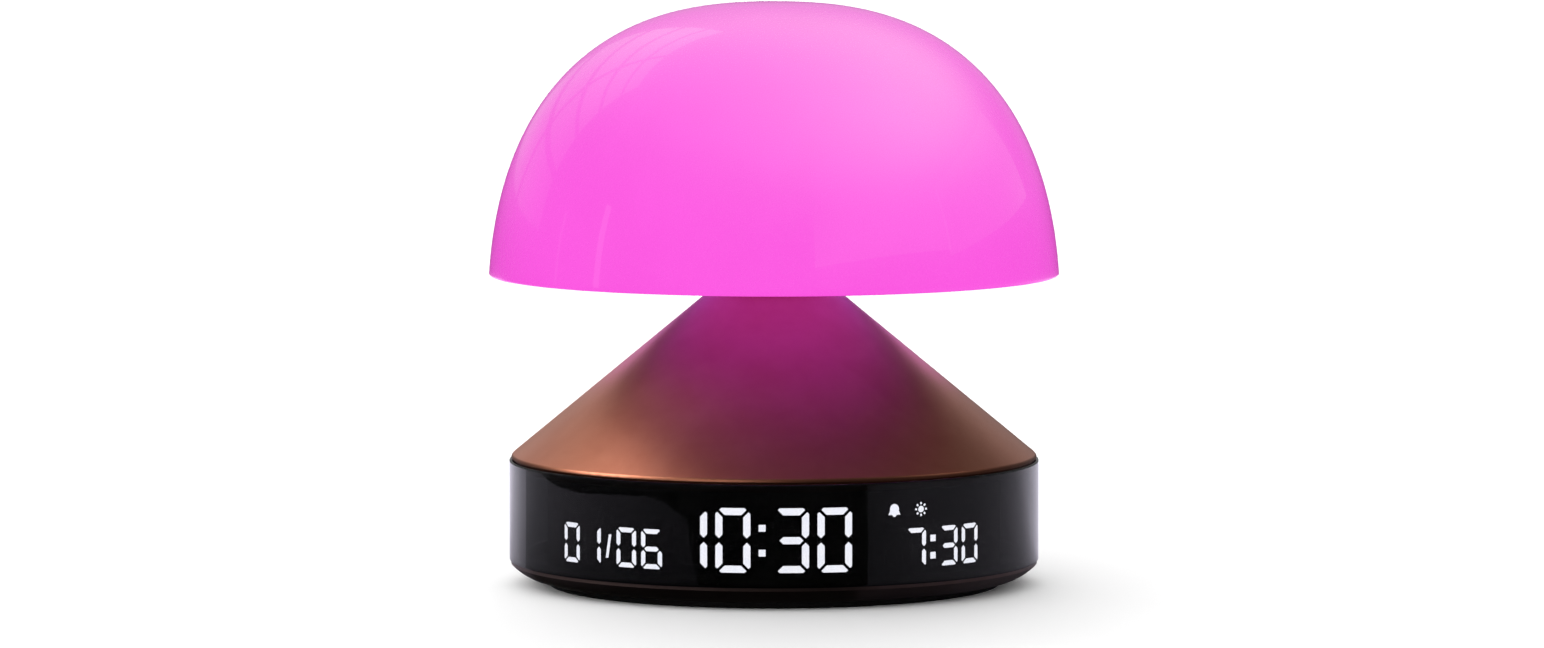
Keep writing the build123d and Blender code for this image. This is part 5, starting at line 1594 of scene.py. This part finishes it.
@dataclass(frozen=True)
class Softbox:
    """A flat studio light. Inner and outer are the limits of its pattern, or a pool's power and width."""

    name: str
    place: Place
    facing: Place
    width: float
    height: float
    radiance: float
    receivers: Receivers
    color: Color = WHITE
    pattern: Pattern = Pattern.EVEN
    inner: float = 0.0
    outer: float = 1.0
    level: float = 0.0
    panes: Pair = (2.0, 5.0)
    bar: float = 0.05
    bar_edge: Pair = (0.6, 1.4)
    pane_rise: float = 0.8
    pane_low: float = 0.35
    roll: float = 0.0

    def window(self, graph: Graph, across: object) -> Socket:
        """Adds the nodes of a window with glazing bars that is dimmer lower down.

        Args:
            graph: The light's graph.
            across: The place on the light's face.

        Returns:
            The share of full brightness.
        """
        counted = {0: across, 1: (*self.panes, 1.0)}
        parts = graph.parts(graph.add("ShaderNodeVectorMath", counted, operation="MULTIPLY").outputs[0])
        share = 1.0
        for part, reach, count in zip(parts, (self.width, self.height), self.panes):
            start, end = (self.bar * count / reach * edge for edge in self.bar_edge)
            share = graph.math("MULTIPLY", share, graph.span(graph.math("PINGPONG", part, 0.5), start, end))
        rise = graph.span(graph.parts(across)[1], 0.0, self.pane_rise, self.pane_low, 1.0)
        return graph.math("MULTIPLY", share, rise)

    def falloff(self, graph: Graph) -> Socket:
        """Adds the nodes that grade the light over its face.

        Args:
            graph: The light's graph.

        Returns:
            The share of full brightness.
        """
        across = graph.add("ShaderNodeNewGeometry").outputs["Parametric"]
        if self.pattern is Pattern.PANES:
            return self.window(graph, across)
        parts = graph.parts(across)
        if self.pattern is Pattern.RISE:
            return graph.math("MULTIPLY_ADD", parts[1], self.outer - self.inner, self.inner)
        side = graph.math("MULTIPLY_ADD", parts[0], self.width, -self.width / 2)
        rise = graph.math("MULTIPLY_ADD", parts[1], self.height, -self.height / 2)
        square = graph.square_sum(side, rise)
        if self.pattern is Pattern.DISC:
            return graph.span(graph.math("SQRT", square), self.inner, self.outer, 1.0, 0.0)
        spread = graph.math("ADD", graph.math("DIVIDE", square, self.outer**2), 1.0)
        fall = graph.math("POWER", spread, -self.inner)
        return graph.math("MULTIPLY_ADD", fall, 1.0 - self.level, self.level)

    def build(self) -> Piece:
        """Makes the light.

        Returns:
            The light's object.
        """
        lamp = bpy.data.lights.new(self.name, "AREA")
        lamp.shape = "RECTANGLE"
        lamp.size = self.width
        lamp.size_y = self.height
        lamp.energy = self.radiance * math.pi * self.width * self.height
        lamp.color = self.color
        if self.pattern is not Pattern.EVEN:
            lamp.use_nodes = True
            graph = Graph(lamp.node_tree)
            lamp.node_tree.nodes.clear()
            glow = graph.add("ShaderNodeEmission", {"Strength": self.falloff(graph)})
            graph.add("ShaderNodeOutputLight", {"Surface": glow.outputs[0]})
        light = object_from(self.name, lamp)
        light.location = self.place
        back = -Vector(self.facing).normalized()
        upright = Vector((0, 1, 0)) if abs(back.z) > NEAR_UPRIGHT else Vector((0, 0, 1))
        side = upright.cross(back).normalized()
        turn = Matrix((side, back.cross(side), back)).transposed()
        light.rotation_euler = (turn @ Matrix.Rotation(math.radians(self.roll), 3, "Z")).to_euler()
        light.visible_camera = False
        return light


def aimed(name: str, azimuth: float, elevation: float, radiance: float) -> Softbox:
    """Describes a softbox that faces the cone.

    Args:
        name: The light's name.
        azimuth: Its direction in degrees from the front, positive to the right.
        elevation: Its direction in degrees above the floor.
        radiance: How bright it is.

    Returns:
        The softbox.
    """
    turn, lift = math.radians(azimuth), math.radians(elevation)
    away = Vector((math.sin(turn) * math.cos(lift), -math.cos(turn) * math.cos(lift), math.sin(lift)))
    place = away * CONE_LIGHT_DISTANCE + CONE_LIGHT_AIM
    return Softbox(name, tuple(place), tuple(-away), *CONE_LIGHT_SIZE, radiance, Receivers.METAL)


def limit_light(light: Piece, pieces: list[Piece], excluded: bool = False) -> None:
    """Says which pieces a light falls on.

    Args:
        light: The light or glowing piece.
        pieces: The pieces that it reaches, or spares.
        excluded: Whether the pieces are spared.
    """
    group = bpy.data.collections.new(f"{light.name}_receivers")
    for piece in pieces:
        group.objects.link(piece)
    if excluded:
        for member in group.collection_objects:
            member.light_linking.link_state = "EXCLUDE"
    light.light_linking.receiver_collection = group


def azimuth_ramp(graph: Graph, place: object, grades: Grades, tint: Color = WHITE) -> Socket:
    """Adds a ramp of one hue that runs round the upright axis.

    Args:
        graph: The graph that gets the nodes.
        place: The direction or place to grade.
        grades: Pairs of an angle in degrees, from the front to the right, and its brightness.
        tint: The ramp's colour at full brightness.

    Returns:
        The ramp's colour.
    """
    parts = graph.parts(place)
    turn = graph.math("ARCTAN2", parts[0], graph.math("MULTIPLY", parts[1], -1.0))
    share = graph.math("ADD", graph.math("DIVIDE", turn, FULL_TURN), 0.5)
    ramp = graph.add("ShaderNodeValToRGB", {"Fac": share})
    points = ramp.color_ramp.elements
    points.remove(points[-1])
    points[0].position = grades[0][0] / CIRCLE + 0.5
    for index, (degrees, level) in enumerate(grades):
        point = points.new(degrees / CIRCLE + 0.5) if index else points[0]
        point.color = opaque(tuple(level * part for part in tint))
    return ramp.outputs["Color"]


def flat_stage(name: str, outline: list[Place]) -> Piece:
    """Makes a flat piece of the studio.

    Args:
        name: Its name.
        outline: Its corners in order.

    Returns:
        The piece.
    """
    work = bmesh.new()
    face = work.faces.new([work.verts.new(corner) for corner in outline])
    face.normal_update()
    if face.normal.z < 0:
        face.normal_flip()
    mesh = bpy.data.meshes.new(name)
    work.to_mesh(mesh)
    work.free()
    piece = object_from(name, mesh)
    return piece


@dataclass(frozen=True)
class Table:
    """A lit table top that only reflections show. Its glow carries a painted shadow of the clock: dimmer
    near the clock and fading out under it.
    """

    name: str
    outline: tuple[Pair, ...]
    grades: Grades
    near_shadow_share: float
    near: float = 0.09
    far: float = 0.30
    skirt: Pair = (0.050, 0.090)
    drop: float = 0.5 * MM
    tint: Color = (1.03, 0.98, 1.16)

    def build(self) -> None:
        """Makes the table top and hides it from all but reflections."""
        table = flat_stage(self.name, [(across, back, -self.drop) for across, back in self.outline])
        material, graph = blank_material(self.name)
        place = graph.surface_place()
        reach = graph.add("ShaderNodeVectorMath", {0: place}, operation="LENGTH").outputs["Value"]
        # Painted shadow of the clock: the glow is dimmer near it, and the skirt darkens it under the base.
        strength = graph.span(reach, self.near, self.far, self.near_shadow_share, 1.0)
        strength = graph.math("MULTIPLY", strength, graph.span(reach, *self.skirt))
        color = azimuth_ramp(graph, place, self.grades, self.tint)
        glow = graph.add("ShaderNodeEmission", {"Color": color, "Strength": strength}).outputs[0]
        graph.add("ShaderNodeOutputMaterial", {"Surface": glow})
        table.data.materials.append(material)
        for ray in ("camera", "diffuse", "transmission", "shadow"):
            setattr(table, f"visible_{ray}", False)
        material.cycles.emission_sampling = "NONE"


@dataclass
class Studio:
    """Floor, surround, lights and camera."""

    camera_back: float = 2.0
    camera_height: float = 0.2307
    camera_side: float = -0.0005
    camera_pitch: float = 0.083
    lens: float = 188.95
    sensor: float = 36.0
    clip: Pair = (0.01, 100.0)
    floor_reach: float = 4.0
    floor_white: Color = (0.90, 0.90, 0.90)
    floor_roughness: float = 0.9
    fill_surround: Grades = (
        (-180, 5.80), (-135, 2.30), (-90, 1.92), (-45, 2.00), (0, 3.32), (45, 1.56), (90, 0.0), (135, 1.28),
        (180, 5.80),
    )
    fill_top: float = 0.20
    fill_edge: Pair = (0.74, 0.79)
    low_surround: Grades = (
        (-180, 0.90), (-143, 0.90), (-142, 0.015), (0, 0.002), (40.8, 0.003), (41.8, 0.15), (90, 0.23),
        (110, 0.31), (130, 0.64), (180, 0.86),
    )
    high_surround: Grades = (
        (-180, 0.32), (-150, 0.18), (-120, 0.08), (-60, 0.06), (0, 0.06), (60, 0.06), (120, 0.08),
        (150, 0.18), (180, 0.32),
    )
    level_surround: float = 0.05
    top_surround: float = 0.10
    under_surround: float = 0.01
    under_edge: Pair = (-0.3, -0.16)
    low_edge: Pair = (-0.099, -0.088)
    high_edge: Pair = (-0.04, 0.12)
    top_edge: Pair = (0.3, 0.8)
    tables: tuple[Table, ...] = (
        Table(
            "lit_table_left",
            (
                (-0.318, 0.255), (-0.314, 0.000), (-0.306, -0.090), (-0.289, -0.145), (-0.256, -0.204),
                (-0.212, -0.231), (-0.152, -0.231), (-0.069, -0.137), (-0.020, -0.075), (-0.068, -0.015),
            ),
            (
                (-125, 0.31), (-111, 0.26), (-99, 0.25), (-87, 0.235), (-73, 0.20), (-60, 0.16),
                (-50, 0.12), (-38, 0.09),
            ),
            0.62,
        ),
        Table(
            "lit_table_back", ((-0.318, 0.255), (-0.068, -0.015), (0.0, 0.0), (0.0, 0.45), (-0.45, 0.45)),
            ((-180, 0.98), (-150, 0.92), (-138, 0.72), (-127, 0.62), (-116, 0.50), (-105, 0.43)), 0.9,
        ),
        Table(
            "lit_table_right",
            (
                (0.0, 0.0), (0.022, -0.062), (0.080, -0.128), (0.208, -0.275), (0.45, -0.53), (0.45, 0.45),
                (0.0, 0.45),
            ),
            (
                (38, 0.12), (52, 0.20), (90, 0.23), (105, 0.27), (111, 0.32), (119, 0.40), (124, 0.50),
                (130, 0.66), (143, 0.78), (180, 0.94),
            ),
            1.0,
        ),
    )
    softboxes: tuple[Softbox, ...] = (
        Softbox(
            "scrim", (0.771, -0.026, 1.08), (0, 0, -1), 15.0, 15.0, 2.3, Receivers.SHADE, (0.35, 1.0, 0.37),
            Pattern.POOL, inner=3.96, outer=2.44, level=0.015,
        ),
        Softbox(
            "side_card", (1.596, -1.514, 0.93), (-0.725, 0.688, 0), 2.55, 0.88, 0.60, Receivers.SHADE,
            (0.5, 1.0, 0.5), Pattern.RISE, inner=1.0, outer=0.0,
        ),
        Softbox(
            "side_card_far", (2.125, 0.57, 0.85), (-0.966, -0.259, 0), 2.48, 0.84, 0.44, Receivers.SHADE,
            (0.5, 1.0, 0.5), Pattern.RISE, inner=1.0, outer=0.4,
        ),
        Softbox(
            "tall_window", (-1.573, 1.943, 1.8), (0.629, -0.777, 0), 2.55, 3.0, 0.64, Receivers.SHADE,
            (0.5, 1.0, 0.6), Pattern.PANES, roll=4.0,
        ),
        Softbox("slit_near", (-1.92, -0.52, 0.35), (0.963, 0.270, 0), 0.10, 0.90, 1.0, Receivers.SHADE),
        Softbox("slit_far", (-1.98, 0.25, 0.24), (0.99, -0.12, 0), 0.05, 0.66, 0.34, Receivers.SHADE),
        aimed("cone_key", -85, 30, 12.0),
        aimed("cone_left", -100, 45, 3.6),
        aimed("cone_high", -110, 62, 1.6),
        aimed("cone_front", -30, 30, 3.3),
        aimed("cone_back_high", -145, 35, 0.36),
        aimed("cone_back_left", -158, 20, 0.22),
        aimed("cone_back_low", -166, 11, 0.19),
        aimed("cone_right", 95, 40, 0.58),
        aimed("cone_back_right", 158, 20, 0.22),
        aimed("cone_back_far", 166, 11, 0.10),
        Softbox(
            "neck_glow", (0.0, 0.0, 0.0784), (0, 0, -1), 0.13, 0.13, 1.0, Receivers.CONE,
            color=(0.60, 0.07, 1.40), pattern=Pattern.DISC, inner=0.010, outer=0.066,
        ),
        Softbox(
            "rear_glow", (0.0, 0.070, 0.073), (0, -1, -0.15), 0.13, 0.018, 1.0, Receivers.CONE,
            color=(0.8, 0.11, 1.0),
        ),
    )

    def camera(self) -> None:
        """Places the camera."""
        data = bpy.data.cameras.new("view")
        data.sensor_fit = "HORIZONTAL"
        data.sensor_width = self.sensor
        data.lens = self.lens
        data.clip_start, data.clip_end = self.clip
        holder = object_from("view", data)
        holder.location = (self.camera_side, -self.camera_back, self.camera_height)
        holder.rotation_euler = (math.pi / 2 - self.camera_pitch, 0.0, 0.0)
        bpy.context.scene.camera = holder

    def floor(self) -> Piece:
        """Builds the floor.

        Returns:
            The floor.
        """
        reach = self.floor_reach
        corners = ((-reach, -reach), (reach, -reach), (reach, reach), (-reach, reach))
        floor = flat_stage("floor", [(*corner, 0) for corner in corners])
        material = bpy.data.materials.new("floor_paper")
        material.use_nodes = True
        shader = material.node_tree.nodes["Principled BSDF"]
        shader.inputs["Base Color"].default_value = opaque(self.floor_white)
        shader.inputs["Roughness"].default_value = self.floor_roughness
        shader.inputs["Specular IOR Level"].default_value = 0.0
        floor.data.materials.append(material)
        floor.visible_glossy = False
        return floor

    def world(self) -> None:
        """Builds the surround: white to the camera, and graded in reflections."""
        world = bpy.data.worlds.new("surround")
        world.use_nodes = True
        world.node_tree.nodes.clear()
        graph = Graph(world.node_tree)
        view = graph.add("ShaderNodeTexCoord").outputs["Generated"]
        height = graph.parts(view)[2]
        surrounds = (self.low_surround, self.high_surround, self.fill_surround)
        low, high, fill = (azimuth_ramp(graph, view, grades) for grades in surrounds)
        graded = graph.blend(graph.span(height, *self.low_edge), low, grey(self.level_surround))
        graded = graph.blend(graph.span(height, *self.high_edge), graded, high)
        graded = graph.blend(graph.span(height, *self.top_edge), graded, grey(self.top_surround))
        share = graph.span(height, *self.under_edge, 1.0, 0.0)
        graded = graph.blend(share, graded, grey(self.under_surround))
        fill = graph.blend(graph.span(height, *self.fill_edge), fill, grey(self.fill_top))
        gloss, soft, seen = (
            graph.add("ShaderNodeBackground", {"Color": color}).outputs[0]
            for color in (graded, fill, opaque(WHITE))
        )
        path = graph.add("ShaderNodeLightPath").outputs
        soft = graph.add("ShaderNodeMixShader", {0: path["Is Diffuse Ray"], 1: gloss, 2: soft}).outputs[0]
        final = graph.add("ShaderNodeMixShader", {0: path["Is Camera Ray"], 1: soft, 2: seen}).outputs[0]
        graph.add("ShaderNodeOutputWorld", {"Surface": final})
        world.cycles.sampling_method = "NONE"
        bpy.context.scene.world = world

    def build(
        self,
        shade: list[Piece],
        glowing: list[Piece],
        cone: list[Piece],
        metal: list[Piece],
    ) -> None:
        """Builds the whole studio.

        Args:
            shade: The pieces of the opal shade.
            glowing: Every piece that glows in the head.
            cone: The pieces of the cone.
            metal: Every painted metal piece.
        """
        bpy.context.scene.view_settings.view_transform = "Standard"
        self.camera()
        floor = self.floor()
        for table in self.tables:
            table.build()
        self.world()
        reached = {Receivers.SHADE: shade, Receivers.CONE: cone, Receivers.METAL: metal}
        for softbox in self.softboxes:
            limit_light(softbox.build(), reached[softbox.receivers])
        for piece in glowing:
            limit_light(piece, [floor, *metal], excluded=True)
        LOG.info("built studio")


# ------------------------------------------------------------------------------ assembly
def fixed_ends(joints: list[dict]) -> dict[str, float]:
    """Reads where the parts that shorten are held.

    Args:
        joints: The frame's joints.

    Returns:
        The height of the fixed end of each such node.
    """
    found = {}
    for joint in joints:
        for entry in joint.get("deforming_nodes", ()):
            found[entry["node"]] = entry["fixed_end_z_m"]
    return found


def main() -> None:
    """Builds the clock's looks in order."""
    logging.basicConfig(level=logging.INFO, format="%(name)s: %(message)s")
    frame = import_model()
    nodes = frame["nodes"]
    bpy.context.view_layer.update()
    palette = Palette()
    palette.dress_nodes(nodes)
    shade = LampHead().build(palette)
    NeckParts().build(palette, fixed_ends(frame["joints"]))
    DisplayWindow().build(palette)
    KeyMarks().build(palette)
    for screws in SCREWS:
        screws.build(palette)
    cone = [nodes["cone_housing"]]
    metal = cone + [nodes["base_shell"]]
    glowing = shade + [nodes["shade_underplate"], nodes["shade_lights"]]
    Studio().build(shade, glowing, cone, metal)
    bpy.context.view_layer.update()


if __name__ == "__main__":
    main()
